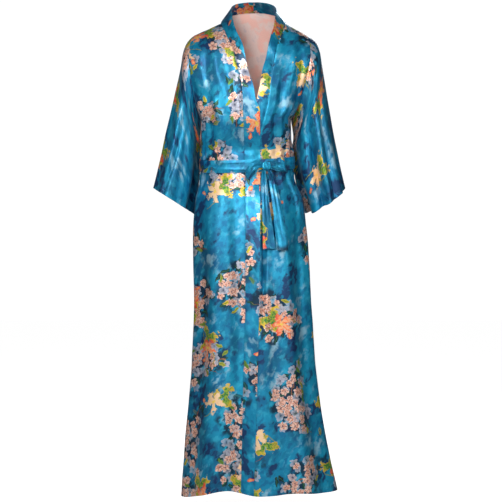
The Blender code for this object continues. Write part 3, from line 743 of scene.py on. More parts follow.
def row_lengths(points: Array) -> Array:
    """How far along its row each point of a grid lies, in metres."""
    steps = np.linalg.norm(np.diff(points, axis=1), axis=2)
    return np.concatenate((np.zeros((len(points), 1)), np.cumsum(steps, axis=1)), axis=1)


def grid_normals(points: Array, wraps: bool) -> Array:
    """The direction square to the cloth at each point of a grid.

    Args:
        points: the grid, rows by columns by 3.
        wraps: whether the last column joins the first.

    Returns:
        A unit vector for each point.
    """
    if wraps:
        across = np.roll(points, -1, axis=1) - np.roll(points, 1, axis=1)
    else:
        across = np.gradient(points, axis=1)
    normals = np.cross(across, np.gradient(points, axis=0))
    return normals / np.maximum(np.linalg.norm(normals, axis=2), 1e-9)[:, :, None]


@dataclass
class Rows:
    """Levels round the body: rise is 0 up to the underarm and 1 at the shoulder."""

    height: Array
    rise: Array
    side_height: Array
    right: Array
    left: Array

    @property
    def centre(self) -> Array:
        """The middle between the two sides."""
        return (self.right + self.left) / 2

    @property
    def half(self) -> Array:
        """Half the way from side to side."""
        return (self.left - self.right) / 2


class Body:
    """The form of the worn robe: where its cloth lies at each level and width."""

    def __init__(self) -> None:
        """Reads the tables into smooth curves."""
        self.section = curves_of(SECTIONS)
        self.armhole = curves_of(ARMHOLES)
        self.lean = curves_of(LEANS)
        self.hem = curves_of(HEM_WAVE)["rise"]
        self.edge = {-1: curves_of(RIGHT_EDGE), 1: curves_of(LEFT_EDGE)}

    def rows(self, skirt: float, waist: float, yoke: int) -> Rows:
        """The levels from the hem up to the shoulder seams.

        Args:
            skirt: the step between levels below the belt, in metres.
            waist: the step from the belt up to the underarm.
            yoke: the number of levels from the underarm to the shoulder.

        Returns:
            The levels, with a yoke row for each step round half an armhole.
        """
        length = BELT_FOOT - HEM
        low = HEM + length * fine_ends(round(length / skirt), length, HEM_STEPS)
        count = round((UNDERARM - BELT_FOOT) / waist)
        middle = np.linspace(BELT_FOOT, UNDERARM, count + 1)[1:]
        plain = np.concatenate((low, middle))
        rise = (1 - np.cos(math.pi * np.arange(1, yoke + 1) / yoke)) / 2
        height = np.concatenate((plain, mix(UNDERARM, NECK, rise)))
        side = np.concatenate((plain, mix(UNDERARM, SHOULDER, rise)))
        right = np.concatenate((self.section["right"](plain), self.armhole["right"](rise)))
        left = np.concatenate((self.section["left"](plain), self.armhole["left"](rise)))
        rise = np.concatenate((np.zeros(len(plain)), rise))
        return Rows(*(column[:, None] for column in (height, rise, side, right, left)))

    def levels(self, heights: Array) -> Rows:
        """Levels below the underarm, at the heights given."""
        right, left = self.section["right"](heights), self.section["left"](heights)
        return Rows(heights, np.zeros_like(heights), heights, right, left)

    def points(
        self,
        rows: Rows,
        x: Array,
        face: int,
        lap: Array | float = 0.0,
        seam_x: Array | None = None,
    ) -> tuple[Array, Array]:
        """Points of the cloth on the front (face -1) or the back (face 1).

        Args:
            rows: the levels, as columns.
            x: where the points are across the body.
            face: -1 or 1.
            lap: how far they stand out over the layer beneath.
            seam_x: where a front's row starts to slope to the shoulder.

        Returns:
            The points, and the angle round the body of each.
        """
        centre, half = rows.centre, rows.half
        share = np.minimum(np.abs(x - centre) / half, 1.0)
        side = "front" if face < 0 else "back"
        soften = ease(rows.rise / 0.35)
        squareness = self.section["squareness"](rows.height)
        arc = (1 - share**squareness) ** mix(1 / squareness, 0.8, soften)
        depth = mix(self.armhole[side](rows.rise), self.section[side](rows.height), arc)
        cap = np.maximum(0.0, (rows.rise - CAP_START) / (1 - CAP_START))
        side_x = np.where(x > centre, rows.left, rows.right)
        nape = np.zeros_like(share)
        if face < 0:
            out = np.zeros_like(share) if seam_x is None else (x - seam_x) / (side_x - seam_x)
            height = mix(rows.height, rows.side_height, np.clip(out, 0, 1))
        else:
            neck_x = np.where(x > 0, NECK_LEFT, NECK_RIGHT)
            inside = np.abs(x) < np.abs(neck_x)
            nape = np.sqrt(np.clip(1 - (x / neck_x) ** 2, 0, 1)) * inside
            out = np.clip((x - neck_x) / (side_x - neck_x), 0, 1) * ~inside
            height = mix(rows.height, rows.side_height, out) + NAPE_RISE * nape * rows.rise**4
        top_share = nape * NAPE_DEPTH / np.maximum(depth, 1e-6)
        depth = depth * np.sqrt(np.maximum(0.0, 1 - cap * cap * (1 - top_share**2)))
        turn = np.arcsin(share) * np.where(x > centre, 1, -1)
        angle = np.degrees(turn) if face < 0 else 180 - np.degrees(turn)
        across = np.sin(turn) / half
        along = np.cos(turn) / np.maximum(depth, 0.02)
        length = np.hypot(across, along)
        lift = lap + fold_lift(FOLDS, angle, height, 5, 4) * ease((1 - rows.rise) * 3)
        down = np.clip((BELT_FOOT - height) / (BELT_FOOT - HEM), 0, 1)
        x, y = x + across / length * lift, face * (depth + along / length * lift)
        return np.stack((x, y, height + self.hem(angle) * down**3), axis=-1), angle

    def lap(self, rows: Rows, x: Array, side: int) -> Array:
        """How far a front stands out from the one beneath it.

        Args:
            rows: the levels, as columns.
            x: where the points are across the body.
            side: -1 for the right front, which grows out from its side, or 1.

        Returns:
            The distance in metres.
        """
        if side > 0:
            return np.zeros_like(x)
        away = np.degrees(np.arcsin(np.clip((x - rows.centre) / rows.half, -1, 1)))
        return LAP * ease((away + 78) / 34) * ease((1 - rows.rise) * 5)

    def angle_at(self, x: float, height: float, face: int) -> float:
        """The angle round the body of a place seen on it.

        Args:
            x: the place across the body.
            height: its height.
            face: -1 where it is seen from the front, 1 from behind.

        Returns:
            Degrees round the body.
        """
        right, left = self.section["right"](height), self.section["left"](height)
        share = (x - (right + left) / 2) / ((left - right) / 2)
        turn = math.degrees(math.asin(min(max(share, -1.0), 1.0)))
        return turn if face < 0 else 180 - turn


@dataclass
class Relief:
    """The small forms of the cloth: creases, gathers at the belt and a soft crinkle."""

    body: Body
    belt: "BeltLine"
    crinkle_wide: float = 2.2 * MM
    crinkle_small: float = 0.7 * MM
    # How far past its edges the belt holds the cloth flat
    pressed_past: float = 14 * MM

    def creases(self, angle: Array, height: Array) -> Array:
        """The lift of the creases that are placed one by one.

        Args:
            angle: degrees round the body.
            height: heights in metres.

        Returns:
            The lift in metres.
        """
        lift = np.zeros_like(angle)
        for crease in CREASES:
            first = self.body.angle_at(crease.x0, crease.z0, crease.face)
            last = self.body.angle_at(crease.x1, crease.z1, crease.face)
            middle_angle = (first + last) / 2
            s = np.radians(turn_from(middle_angle, angle)) * GIRTH_RADIUS
            s0 = math.radians(first - middle_angle) * GIRTH_RADIUS
            s1 = math.radians(last - middle_angle) * GIRTH_RADIUS
            along = np.array((s1 - s0, crease.z1 - crease.z0))
            length = np.linalg.norm(along)
            along = along / length
            t = ((s - s0) * along[0] + (height - crease.z0) * along[1]) / length
            off = (s - s0) * -along[1] + (height - crease.z0) * along[0]
            t = np.clip(t, 0, 1)
            off = off - crease.bow * np.sin(math.pi * t)
            q = (off / crease.half_width) ** 2
            lift += crease.depth * (1 - 0.5 * q) * np.exp(-0.7 * q) * np.sin(math.pi * t) ** 1.2
        return lift

    def gathers(self, angle: Array, points: Array) -> Array:
        """The lift of the puckers just above and below the belt.

        Args:
            angle: degrees round the body.
            points: the plain grid.

        Returns:
            The lift in metres.
        """
        up = points[..., 2] - self.belt.height_at(points)
        lift = np.zeros_like(angle)
        for gather in GATHERS:
            away = turn_from(gather.angle, angle)
            reach = np.where(up > 0, gather.above, gather.below)
            past = (np.abs(up) - self.belt.width / 2) / reach
            across = np.exp(-((away / gather.half_width) ** 2))
            lift += gather.depth * across * ease(past * 6) * ease(1 - past)
        return lift

    def crinkle(self, points: Array) -> Array:
        """A soft unevenness, longer down the cloth than across it.

        Args:
            points: the plain grid.

        Returns:
            The lift in metres.
        """
        lift = np.empty(points.shape[:-1])
        for place in np.ndindex(lift.shape):
            x, y, z = points[place]
            wide = noise.noise(Vector((x * 15, y * 15, z * 6)))
            small = noise.noise(Vector((x * 42 + 7, y * 42, z * 17)))
            lift[place] = wide * self.crinkle_wide + small * self.crinkle_small
        return lift

    def under_belt(self, points: Array) -> Array:
        """0 where the belt presses the cloth flat, 1 away from it."""
        away = np.abs(points[..., 2] - self.belt.height_at(points))
        return ease((away - self.belt.width / 2) / self.pressed_past)

    def lift(self, points: Array, angle: Array, rise: Array) -> Array:
        """All the small forms of the body's cloth together.

        Args:
            points: the plain grid.
            angle: degrees round the body.
            rise: how far up the yoke each row is.

        Returns:
            The lift in metres.
        """
        placed = self.creases(angle, points[..., 2]) + self.gathers(angle, points)
        placed = placed * ease((1 - rise) * 6)
        return (placed + self.crinkle(points)) * self.under_belt(points)


class CutPlace(NamedTuple):
    """Where a piece was cut from the printed length, and which way its grid runs on it."""

    across: float
    down: float
    across_way: int = 1
    down_way: int = 1


@dataclass
class Sheet:
    """A cut piece of cloth as a grid of points, with its place on the flat cut."""

    points: Array
    wraps: bool = False
    normals: Array | None = None
    across: Array | None = None
    down: Array | None = None

    def face_out(self, middle: Array) -> None:
        """Works out the normals and turns them away from the middle.

        Args:
            middle: a point, or one for each grid point, inside the form.
        """
        normals = grid_normals(self.points, self.wraps)
        away = self.points - middle
        self.normals = normals if (away * normals).sum() > 0 else -normals

    def ring(self) -> Array:
        """The points, with the first column again at the end where the sheet wraps."""
        return np.concatenate((self.points, self.points[:, :1]), axis=1) if self.wraps else self.points

    def lay_flat(self) -> None:
        """Works out where each point lies on the flat cut, in metres."""
        self.across = row_lengths(self.ring())
        steps = np.linalg.norm(np.diff(self.points, axis=0), axis=2).mean(axis=1)
        self.down = np.concatenate(((0.0,), np.cumsum(steps)))[:, None] + 0 * self.across

    def cut_size(self) -> tuple[float, float]:
        """The width and length of the flat cut."""
        return float(np.ptp(self.across, axis=1).max()), float(np.ptp(self.down))

    def area(self) -> float:
        """Adds up the cells of the grid.

        Returns:
            The area of the cloth in square metres.
        """
        ring = self.ring()
        first, second = ring[1:, 1:] - ring[:-1, :-1], ring[1:, :-1] - ring[:-1, 1:]
        return float(np.linalg.norm(np.cross(first, second), axis=2).sum() / 2)

    def shift_cut(self, place: CutPlace) -> None:
        """Moves the cut to its place on the printed length."""
        self.across = place.across + place.across_way * self.across
        self.down = place.down + place.down_way * self.down

    def turn_in(self, edge: Edge, depth: float, gap: float) -> None:
        """Turns the cloth back against its inner side along an edge, as a hem.

        Args:
            edge: the first row or the last.
            depth: how deep the turned part is.
            gap: how far behind the cloth it lies.
        """
        order = slice(None) if edge is Edge.FIRST_ROW else slice(None, None, -1)
        points, normals, across, down = (
            grid[order] for grid in (self.points, self.normals, self.across, self.down)
        )
        reach = down[:, 0] - down[0, 0]
        way = np.sign(reach[1])
        last = int(np.searchsorted(np.abs(reach), depth + CLEAR_STEP / 2)) - 1
        back = slice(last, None, -1)
        turned = points[back] - normals[back] * gap
        turned_down = 2 * down[:1] - down[back] - way * 2 * gap
        rim, rim_out = points[:1] - normals[:1] * gap / 2, unit(points[0] - points[1])[None]
        parts = (
            (turned, -normals[back], across[back], turned_down),
            (rim, rim_out, across[:1], down[:1] - way * gap),
            (points, normals, across, down),
        )
        grids = (np.concatenate(grid)[order] for grid in zip(*parts))
        self.points, self.normals, self.across, self.down = grids


def pool_normals(sheets: Sequence[Sheet]) -> None:
    """Gives the sheets that meet at a point one normal there, so that they join.

    Args:
        sheets: the sheets, whose normals are changed.
    """
    pooled: dict[tuple, Array] = {}
    spots = [np.round(sheet.points.reshape(-1, 3) / SAME_PLACE).astype(int) for sheet in sheets]
    keys = [[tuple(spot) for spot in places] for places in spots]
    for sheet, places in zip(sheets, keys):
        for key, normal in zip(places, sheet.normals.reshape(-1, 3)):
            pooled[key] = pooled.get(key, 0) + normal
    for sheet, places in zip(sheets, keys):
        normals = np.array([pooled[key] for key in places])
        sheet.normals = unit(normals).reshape(sheet.points.shape)


class BeltLine(NamedTuple):
    """How the belt lies round the waist: higher at the left and at the back."""

    width: float = 35 * MM
    level: float = -0.3917
    rise_left: float = 0.0352
    rise_back: float = 0.126

    def height_at(self, points: Array) -> Array:
        """The height of the belt's middle at each point."""
        return self.level + self.rise_left * points[..., 0] + self.rise_back * points[..., 1]


def new_object(name: str, data: ID) -> Object:
    """Puts new data in the scene.

    Args:
        name: the object's name.
        data: its mesh, curve, light or camera.

    Returns:
        The object.
    """
    made = bpy.data.objects.new(name, data)
    bpy.context.scene.collection.objects.link(made)
    return made


def make_shell(
    name: str, sheet: Sheet, thickness: float, outside: Material, inside: Material
) -> Object:
    """Makes a closed thin shell of cloth round a sheet.

    Args:
        name: the piece's name.
        sheet: the grid, with normals and its place on the flat cut.
        thickness: how thick the cloth is.
        outside: the material of the side that faces out, and of the rims.
        inside: the material of the side that faces in.

    Returns:
        The new object.
    """
    rows, columns = sheet.points.shape[:2]
    mesh_data = bmesh.new()
    uv = mesh_data.loops.layers.uv.new("cut")
    place_of: dict = {}
    layers = []
    for way in (0.5, -0.5):
        shell = sheet.points + sheet.normals * thickness * way
        layer = [[mesh_data.verts.new(point) for point in line] for line in shell]
        place_of.update({layer[r][c]: (r, c) for r in range(rows) for c in range(columns)})
        layers.append(layer)
    outer, inner = layers
    last = columns if sheet.wraps else columns - 1

    def add(verts: tuple, material: int) -> None:
        """Adds a face and its place on the cut.

        Args:
            verts: its corners in order.
            material: the number of its material.
        """
        face = mesh_data.faces.new(verts)
        face.material_index = material
        face.smooth = True
        spots = [place_of[vert] for vert in verts]
        split = sheet.wraps and max(c for _, c in spots) - min(c for _, c in spots) > 1
        for loop, (r, c) in zip(face.loops, spots):
            across = sheet.across[r, columns if split and c == 0 else c]
            loop[uv].uv = (across, sheet.down[r, 0])

    for r in range(rows - 1):
        for c in range(last):
            n = (c + 1) % columns
            add((outer[r][c], outer[r][n], outer[r + 1][n], outer[r + 1][c]), 0)
            add((inner[r][c], inner[r + 1][c], inner[r + 1][n], inner[r][n]), 1)
    for r in (0, rows - 1):
        for c in range(last):
            n = (c + 1) % columns
            add((outer[r][c], inner[r][c], inner[r][n], outer[r][n]), 0)
    if not sheet.wraps:
        for c in (0, columns - 1):
            for r in range(rows - 1):
                add((outer[r][c], outer[r + 1][c], inner[r + 1][c], inner[r][c]), 0)
    bmesh.ops.recalc_face_normals(mesh_data, faces=mesh_data.faces)
    mesh = bpy.data.meshes.new(name)
    mesh_data.to_mesh(mesh)
    mesh_data.free()
    mesh.set_sharp_from_angle(angle=math.radians(SHARP_ANGLE))
    mesh.materials.append(outside)
    mesh.materials.append(inside)
    return new_object(name, mesh)


def declare(
    piece: Object,
    nodes: Sequence[str],
    sheet: Sheet,
) -> None:
    """Attaches a sheet of cloth to the root, hides the solids it stands for and logs it.

    Args:
        piece: the sheet.
        nodes: the solids it stands for.
        sheet: its grid, with its place on the flat cut.
    """
    width, length = sheet.cut_size()
    area = min(sheet.area(), width * length)
    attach(piece, "root")
    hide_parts(*nodes)
    report(piece)


def report(piece: Object) -> None:
    """Logs a finished piece."""
    log.info("%s: %d faces", piece.name, len(piece.data.polygons))


@dataclass
class Stitching:
    """Rows of small stitches, all joined into one piece."""

    name: str
    thread: Material
    pitch: float = 3.0 * MM
    length: float = 2.3 * MM
    width: float = 0.5 * MM
    height: float = 0.22 * MM
    # How far from its middle a stitch keeps its full width, as a share of its length
    full: float = 0.28
    rows: list[Array] = field(default_factory=list)

    def sew(self, line: Array, normals: Array, off: float) -> None:
        """Adds a row of stitches along a line on the cloth.

        Args:
            line: the points of the line, on the middle of the cloth.
            normals: the way out at each point.
            off: how far the cloth's face lies from its middle.
        """
        steps = np.linalg.norm(np.diff(line, axis=0), axis=1)
        reach = np.concatenate(((0.0,), np.cumsum(steps)))
        places = np.arange(self.pitch / 2, reach[-1], self.pitch)

        def at(grid: Array, where: Array) -> Array:
            """The grid's values at some distances along the line."""
            return np.stack([np.interp(where, reach, grid[:, i]) for i in range(3)], axis=-1)

        outward = unit(at(normals, places))
        middle = at(line, places) + outward * off
        along = unit(at(line, places + self.pitch / 4) - at(line, places - self.pitch / 4))
        aside, up = np.cross(outward, along) * self.width / 2, outward * self.height
        spots = [middle - along * self.length / 2]
        for share in (-self.full, self.full):
            core = middle + along * self.length * share
            spots += [core - aside, core + up, core + aside, core - up]
        spots.append(middle + along * self.length / 2)
        self.rows.append(np.stack(spots, axis=1).reshape(-1, 3))

    def make(self) -> Object:
        """Makes the piece out of every row sewn.

        Returns:
            The new object.
        """
        verts = np.concatenate(self.rows)
        faces = []
        # A stitch has ten points: its two ends, and two rings of four between
        for start in range(0, len(verts), 10):
            for i in range(4):
                n = (i + 1) % 4
                low, high = start + 1, start + 5
                faces.append((start, low + n, low + i))
                faces.append((low + i, low + n, high + n, high + i))
                faces.append((start + 9, high + i, high + n))
        mesh = bpy.data.meshes.new(self.name)
        mesh.from_pydata(verts.tolist(), [], faces)
        mesh.shade_smooth()
        mesh.materials.append(self.thread)
        piece = new_object(self.name, mesh)
        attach(piece, "root")
        report(piece)
        return piece


class Graph:
    """Lays the nodes of one shader tree, with a short call for each usual kind."""

    def __init__(self, tree: NodeTree) -> None:
        """Works on the tree that is given."""
        self.tree = tree

    def feed(self, node: Node, values: dict) -> None:
        """Sets some of a node's inputs.

        Args:
            node: the node.
            values: a value or another node's socket for each input, by name or number.
        """
        for name, value in values.items():
            if isinstance(value, NodeSocket):
                self.tree.links.new(value, node.inputs[name])
            else:
                node.inputs[name].default_value = value

    def add(self, kind: str, inputs: dict | None = None, **settings: object) -> Node:
        """Adds a node.

        Args:
            kind: the node's type, without the words ShaderNode.
            inputs: a value or a socket for each input that is set, by name or number.
            settings: the node's own options.

        Returns:
            The new node.
        """
        node = self.tree.nodes.new("ShaderNode" + kind)
        for name, value in settings.items():
            setattr(node, name, value)
        self.feed(node, inputs or {})
        return node

    def math(self, operation: str, *values: object) -> NodeSocket:
        """The result of a sum on numbers."""
        return self.add("Math", dict(enumerate(values)), operation=operation).outputs[0]

    def times(self, first: object, *others: object) -> NodeSocket:
        """Numbers multiplied together.

        Args:
            first: the first number.
            others: what it is multiplied by, one after another.

        Returns:
            The product.
        """
        for other in others:
            first = self.math("MULTIPLY", first, other)
        return first

    def plus(self, first: object, second: object) -> NodeSocket:
        """Two numbers added."""
        return self.math("ADD", first, second)

    def minus(self, first: object, second: object) -> NodeSocket:
        """A number less another."""
        return self.math("SUBTRACT", first, second)

    def linear(self, value: object, factor: float, start: object) -> NodeSocket:
        """A number that grows from start, by factor for each 1 of value."""
        return self.math("MULTIPLY_ADD", value, factor, start)

    def wave(self, value: object, rate: float, height: float) -> NodeSocket:
        """A sine wave of a number, this many radians for each 1 of it."""
        return self.times(self.math("SINE", self.times(value, rate)), height)

    def vector(self, operation: str, *values: object) -> NodeSocket:
        """The result of a sum on vectors."""
        node = self.add("VectorMath", dict(enumerate(values)), operation=operation)
        return node.outputs["Value" if operation == "LENGTH" else "Vector"]

    def scaled(self, vector: object, size: float) -> NodeSocket:
        """A vector made this many times as long."""
        node = self.add("VectorMath", {"Vector": vector, "Scale": size}, operation="SCALE")
        return node.outputs["Vector"]

    def step(self, value: object, low: float, high: float) -> NodeSocket:
        """0 at low and 1 at high, with an even S between."""
        inputs = {"Value": value, "From Min": low, "From Max": high}
        return self.add("MapRange", inputs, interpolation_type="SMOOTHSTEP").outputs[0]

    def blend(self, share: object, first: object, second: object) -> NodeSocket:
        """The colour that lies this share of the way from first to second."""
        return self.add("Mix", {0: share, 6: first, 7: second}, data_type="RGBA").outputs[2]

    def lay(self, base: object, mask: object, tint: object, *strength: float) -> NodeSocket:
        """A colour with a tint over it where the mask is, at full strength unless one is given."""
        return self.blend(self.times(mask, *strength), base, tint)

    def noise(self, vector: object, scale: float, detail: float = 2.0) -> NodeSocket:
        """Soft noise round a half."""
        inputs = {"Vector": vector, "Scale": scale, "Detail": detail}
        return self.add("TexNoise", inputs, noise_dimensions="2D").outputs["Fac"]

    def bump(self, height: object, strength: float, depth: float) -> NodeSocket:
        """The small forms of a surface, from their height."""
        inputs = {"Height": height, "Strength": strength, "Distance": depth}
        return self.add("Bump", inputs).outputs[0]

    def cells(self, place: object, randomness: float) -> tuple:
        """Scattered cells, one apart.

        Args:
            place: the place, in steps of one cell.
            randomness: 0 for an even grid, 1 for the loosest scatter.

        Returns:
            The way to the place from its cell's middle, the middle, and three random
            shares of each cell.
        """
        inputs = {"Vector": place, "Scale": 1.0, "Randomness": randomness}
        node = self.add("TexVoronoi", inputs, voronoi_dimensions="2D")
        picks = self.add("SeparateColor", {0: node.outputs["Color"]}).outputs
        middle = node.outputs["Position"]
        return self.vector("SUBTRACT", place, middle), middle, tuple(picks)

    def turned(self, vector: object, angle: object) -> NodeSocket:
        """A vector turned about Z."""
        inputs = {"Vector": vector, "Angle": angle}
        return self.add("VectorRotate", inputs, rotation_type="Z_AXIS").outputs[0]

    def spun(self, vector: object, share: object) -> NodeSocket:
        """A vector turned about Z by a share of a full turn."""
        return self.turned(vector, self.times(share, FULL_TURN))

    def split(self, vector: object) -> tuple:
        """A vector's X and Y."""
        return tuple(self.add("SeparateXYZ", {0: vector}).outputs)[:2]

    def joined(self, x: object, y: object) -> NodeSocket:
        """A flat vector from its X and Y."""
        return self.add("CombineXYZ", {0: x, 1: y}).outputs[0]

    def group(self, tree: NodeTree, cut: object) -> Node:
        """A shared group at places on the cut."""
        return self.add("Group", {"Cut": cut}, node_tree=tree)


def new_group(name: str, outputs: dict[str, str]) -> tuple:
    """Starts a shared group of nodes that reads a place on the cut.

    Args:
        name: the group's name.
        outputs: the kind of each output, Vector, Float or Color, by name.

    Returns:
        A Graph on the group's tree, the place on the cut, and the output node.
    """
    tree = bpy.data.node_groups.new(name, "ShaderNodeTree")
    for way, sockets in (("INPUT", {"Cut": "Vector"}), ("OUTPUT", outputs)):
        for socket, kind in sockets.items():
            tree.interface.new_socket(name=socket, in_out=way, socket_type="NodeSocket" + kind)
    cut = tree.nodes.new("NodeGroupInput").outputs["Cut"]
    return Graph(tree), cut, tree.nodes.new("NodeGroupOutput")


def new_finish(name: str) -> tuple[Material, Graph, Node]:
    """Starts a material.

    Args:
        name: the material's name.

    Returns:
        The material, a Graph on it and its shader.
    """
    material = bpy.data.materials.new(name)
    material.use_nodes = True
    return material, Graph(material.node_tree), material.node_tree.nodes["Principled BSDF"]


def colour(red: float, green: float, blue: float) -> Colour:
    """A colour from its usual values, 0 to 255.

    Args:
        red: how red it is.
        green: how green.
        blue: how blue.

    Returns:
        The colour as Blender takes it, in even steps of light.
    """
    parts = (part / 255 for part in (red, green, blue))
    linear = (p / 12.92 if p <= 0.04045 else ((p + 0.055) / 1.055) ** 2.4 for p in parts)
    return (*linear, 1.0)


class Scatter(NamedTuple):
    """One scatter of a motif: how far apart, how it is moved on the cloth, how loose."""

    pitch: float
    shift: Place
    looseness: float


@dataclass(frozen=True)
class BlossomLayer:
    """One scatter of five-petalled blossoms.

    size is a blossom's radius in steps of the scatter. Only cells that lie further
    inside a spray than edge bear a blossom, and the shares called gaps and ghosts of
    them are bare and faint.
    """

    scatter: Scatter
    size: float
    edge: float
    gaps: float
    ghosts: float


@dataclass(frozen=True)
class LeafKind:
    """One kind of pointed leaf: its scatter, how many cells are bare, and its colours.

    Bright leaves stay round a spray's edge, and the others also lie beneath its blossom.
    """

    scatter: Scatter
    bare: float
    bright: bool
    first: Colour
    second: Colour
    vein: Colour


@dataclass
class FloralPrint:
    """A scattered print: sprays of pale blossom, coral flowers and leaves on teal."""

    spray_pitch: float = 0.178
    spray_looseness: float = 0.72
    spray_width: float = 0.042
    spray_height: float = 0.080
    # How far sprays lean in all, in radians, how they bow, and how ragged their edge is
    spray_lean: float = 2.4
    spray_bow: float = 6.0
    spray_ragged: float = 1.5
    coral_scatter: Scatter = Scatter(0.195, (0.57, 0.41, 0.0), 0.8)
    coral_radius: float = 0.0324
    leaf_radius: float = 0.040
    leaf_place: Place = (0.027, -0.014, 0.0)
    bud_place: Place = (-0.020, 0.034, 0.0)
    bud_size: Place = (0.0055, 0.010, 1.0)
    unsteady: float = 0.0105
    layers: tuple[BlossomLayer, ...] = (
        BlossomLayer(Scatter(0.0330, (1.13, 0.77, 0.0), 0.7), 0.46, -0.34, 0.35, 0.85),
        BlossomLayer(Scatter(0.0275, (0.0, 0.0, 0.0), 0.7), 0.48, -0.10, 0.20, 0.30),
        BlossomLayer(Scatter(0.0250, (0.31, 0.17, 0.0), 0.7), 0.48, 0.06, 0.30, 0.10),
    )
    dark_leaf: LeafKind = LeafKind(
        Scatter(0.030, (0.44, 0.83, 0.0), 0.9), 0.30, False,
        colour(14, 72, 60), colour(16, 34, 44), colour(56, 118, 84),
    )
    bright_leaf: LeafKind = LeafKind(
        Scatter(0.026, (0.91, 0.27, 0.0), 0.9), 0.66, True,
        colour(214, 190, 54), colour(76, 140, 62), colour(96, 110, 40),
    )

    def __post_init__(self) -> None:
        """Starts the print on places that are a little unsteady, as if brushed."""
        self.spray = self.spray_group()
        g, cut, self.end = new_group("floral_print", {"Color": "Color"})
        jitter = g.add("TexNoise", {"Vector": cut, "Scale": 75.0, "Detail": 2.0}, noise_dimensions="2D")
        moved = g.vector("SUBTRACT", jitter.outputs["Color"], (0.5, 0.5, 0.5))
        cut = g.vector("ADD", cut, g.scaled(moved, self.unsteady))
        self.g, self.cut = g, g.vector("MULTIPLY", cut, (1.0, 1.0, 0.0))

    def spray_group(self) -> NodeTree:
        """Makes the group that says where the sprays lie.

        Returns:
            The group: how far inside a spray a place is, and the spray's own measure.
        """
        g, cut, end = new_group("spray_places", {"Inside": "Float", "Local": "Vector"})
        local, _, picks = g.cells(g.scaled(cut, 1 / self.spray_pitch), self.spray_looseness)
        lean = g.times(g.minus(picks[0], 0.5), self.spray_lean)
        x, y = g.split(g.turned(g.scaled(local, self.spray_pitch), lean))
        bent = g.joined(g.minus(x, g.times(y, y, self.spray_bow)), y)
        oval = g.vector("DIVIDE", bent, (self.spray_width, self.spray_height, 1.0))
        ragged = g.linear(g.noise(cut, 24.0, 1.0), self.spray_ragged, -self.spray_ragged / 2)
        bare = g.times(g.step(picks[2], 0.26, 0.24), 3.0)
        reach = g.minus(g.linear(picks[1], 0.5, 0.78), bare)
        inside = g.minus(reach, g.plus(g.vector("LENGTH", oval), ragged))
        g.feed(end, {"Inside": inside, "Local": bent})
        return g.tree

    def scattered(self, scatter: Scatter) -> tuple:
        """The cells of a scatter, as Graph.cells gives them."""
        moved = self.g.vector("ADD", self.cut, scatter.shift)
        return self.g.cells(self.g.scaled(moved, 1 / scatter.pitch), scatter.looseness)

    def inside_at(self, middle: object, scatter: Scatter) -> NodeSocket:
        """How far inside a spray a cell's middle lies, so that a motif is whole or absent."""
        on_cloth = self.g.vector("SUBTRACT", self.g.scaled(middle, scatter.pitch), scatter.shift)
        return self.g.group(self.spray, on_cloth).outputs["Inside"]

    def flower(self, local: object, petals: int, notch: float, power: float) -> tuple:
        """The outline of a flower about a middle.

        Args:
            local: the place from the flower's middle, turned at will.
            petals: how many petals it has.
            notch: how deep the gaps between the petals are, as a share.
            power: below 1 for round petals and above 1 for pointed ones.

        Returns:
            The distance from the middle, and the outline's share there.
        """
        g = self.g
        x, y = g.split(local)
        turn = g.times(g.math("ARCTAN2", y, x), petals / 2)
        wave = g.math("POWER", g.math("ABSOLUTE", g.math("COSINE", turn)), power)
        return g.vector("LENGTH", local), g.linear(wave, notch, 1 - notch)

    def blossoms(self, layer: BlossomLayer) -> tuple:
        """One scatter of blossoms, whole and only within the sprays.

        Args:
            layer: the scatter.

        Returns:
            The mask and the colour.
        """
        g = self.g
        local, middle, picks = self.scattered(layer.scatter)
        inside = self.inside_at(middle, layer.scatter)
        there = g.times(
            g.step(inside, layer.edge - 0.01, layer.edge + 0.01),
            g.step(picks[1], layer.gaps, layer.gaps + 0.01),
        )
        x, y = g.split(g.spun(local, picks[0]))
        radius, outline = self.flower(g.joined(x, g.times(y, 1.22)), 5, 0.40, 0.75)
        size = g.linear(picks[1], 0.16, layer.size - 0.06)
        out = g.math("DIVIDE", radius, g.times(outline, size))
        ghost = g.step(picks[2], 1 - layer.ghosts - 0.01, 1 - layer.ghosts + 0.01)
        thin = g.times(ghost, g.step(out, 0.2, 0.8))
        cover = g.linear(thin, 0.35, g.minus(1.0, g.times(ghost, 0.62)))
        mask = g.times(g.step(out, 1.0, 0.88), there, cover)
        dabs = g.noise(self.cut, 210.0, 2.0)
        petal = g.blend(picks[1], colour(238, 176, 150), colour(244, 204, 184))
        petal = g.lay(petal, g.step(dabs, 0.44, 0.62), colour(208, 138, 118))
        parting = g.times(g.step(outline, 0.84, 0.68), g.step(out, 0.15, 0.5))
        petal = g.lay(petal, parting, colour(116, 84, 84), 0.75)
        rim = g.times(g.step(out, 0.74, 0.90), g.step(dabs, 0.64, 0.44))
        petal = g.lay(petal, rim, colour(240, 230, 226), 0.85)
        petal = g.lay(petal, ghost, colour(178, 196, 218), 0.75)
        return mask, g.lay(petal, g.step(out, 0.24, 0.12), colour(66, 52, 82), 0.8)

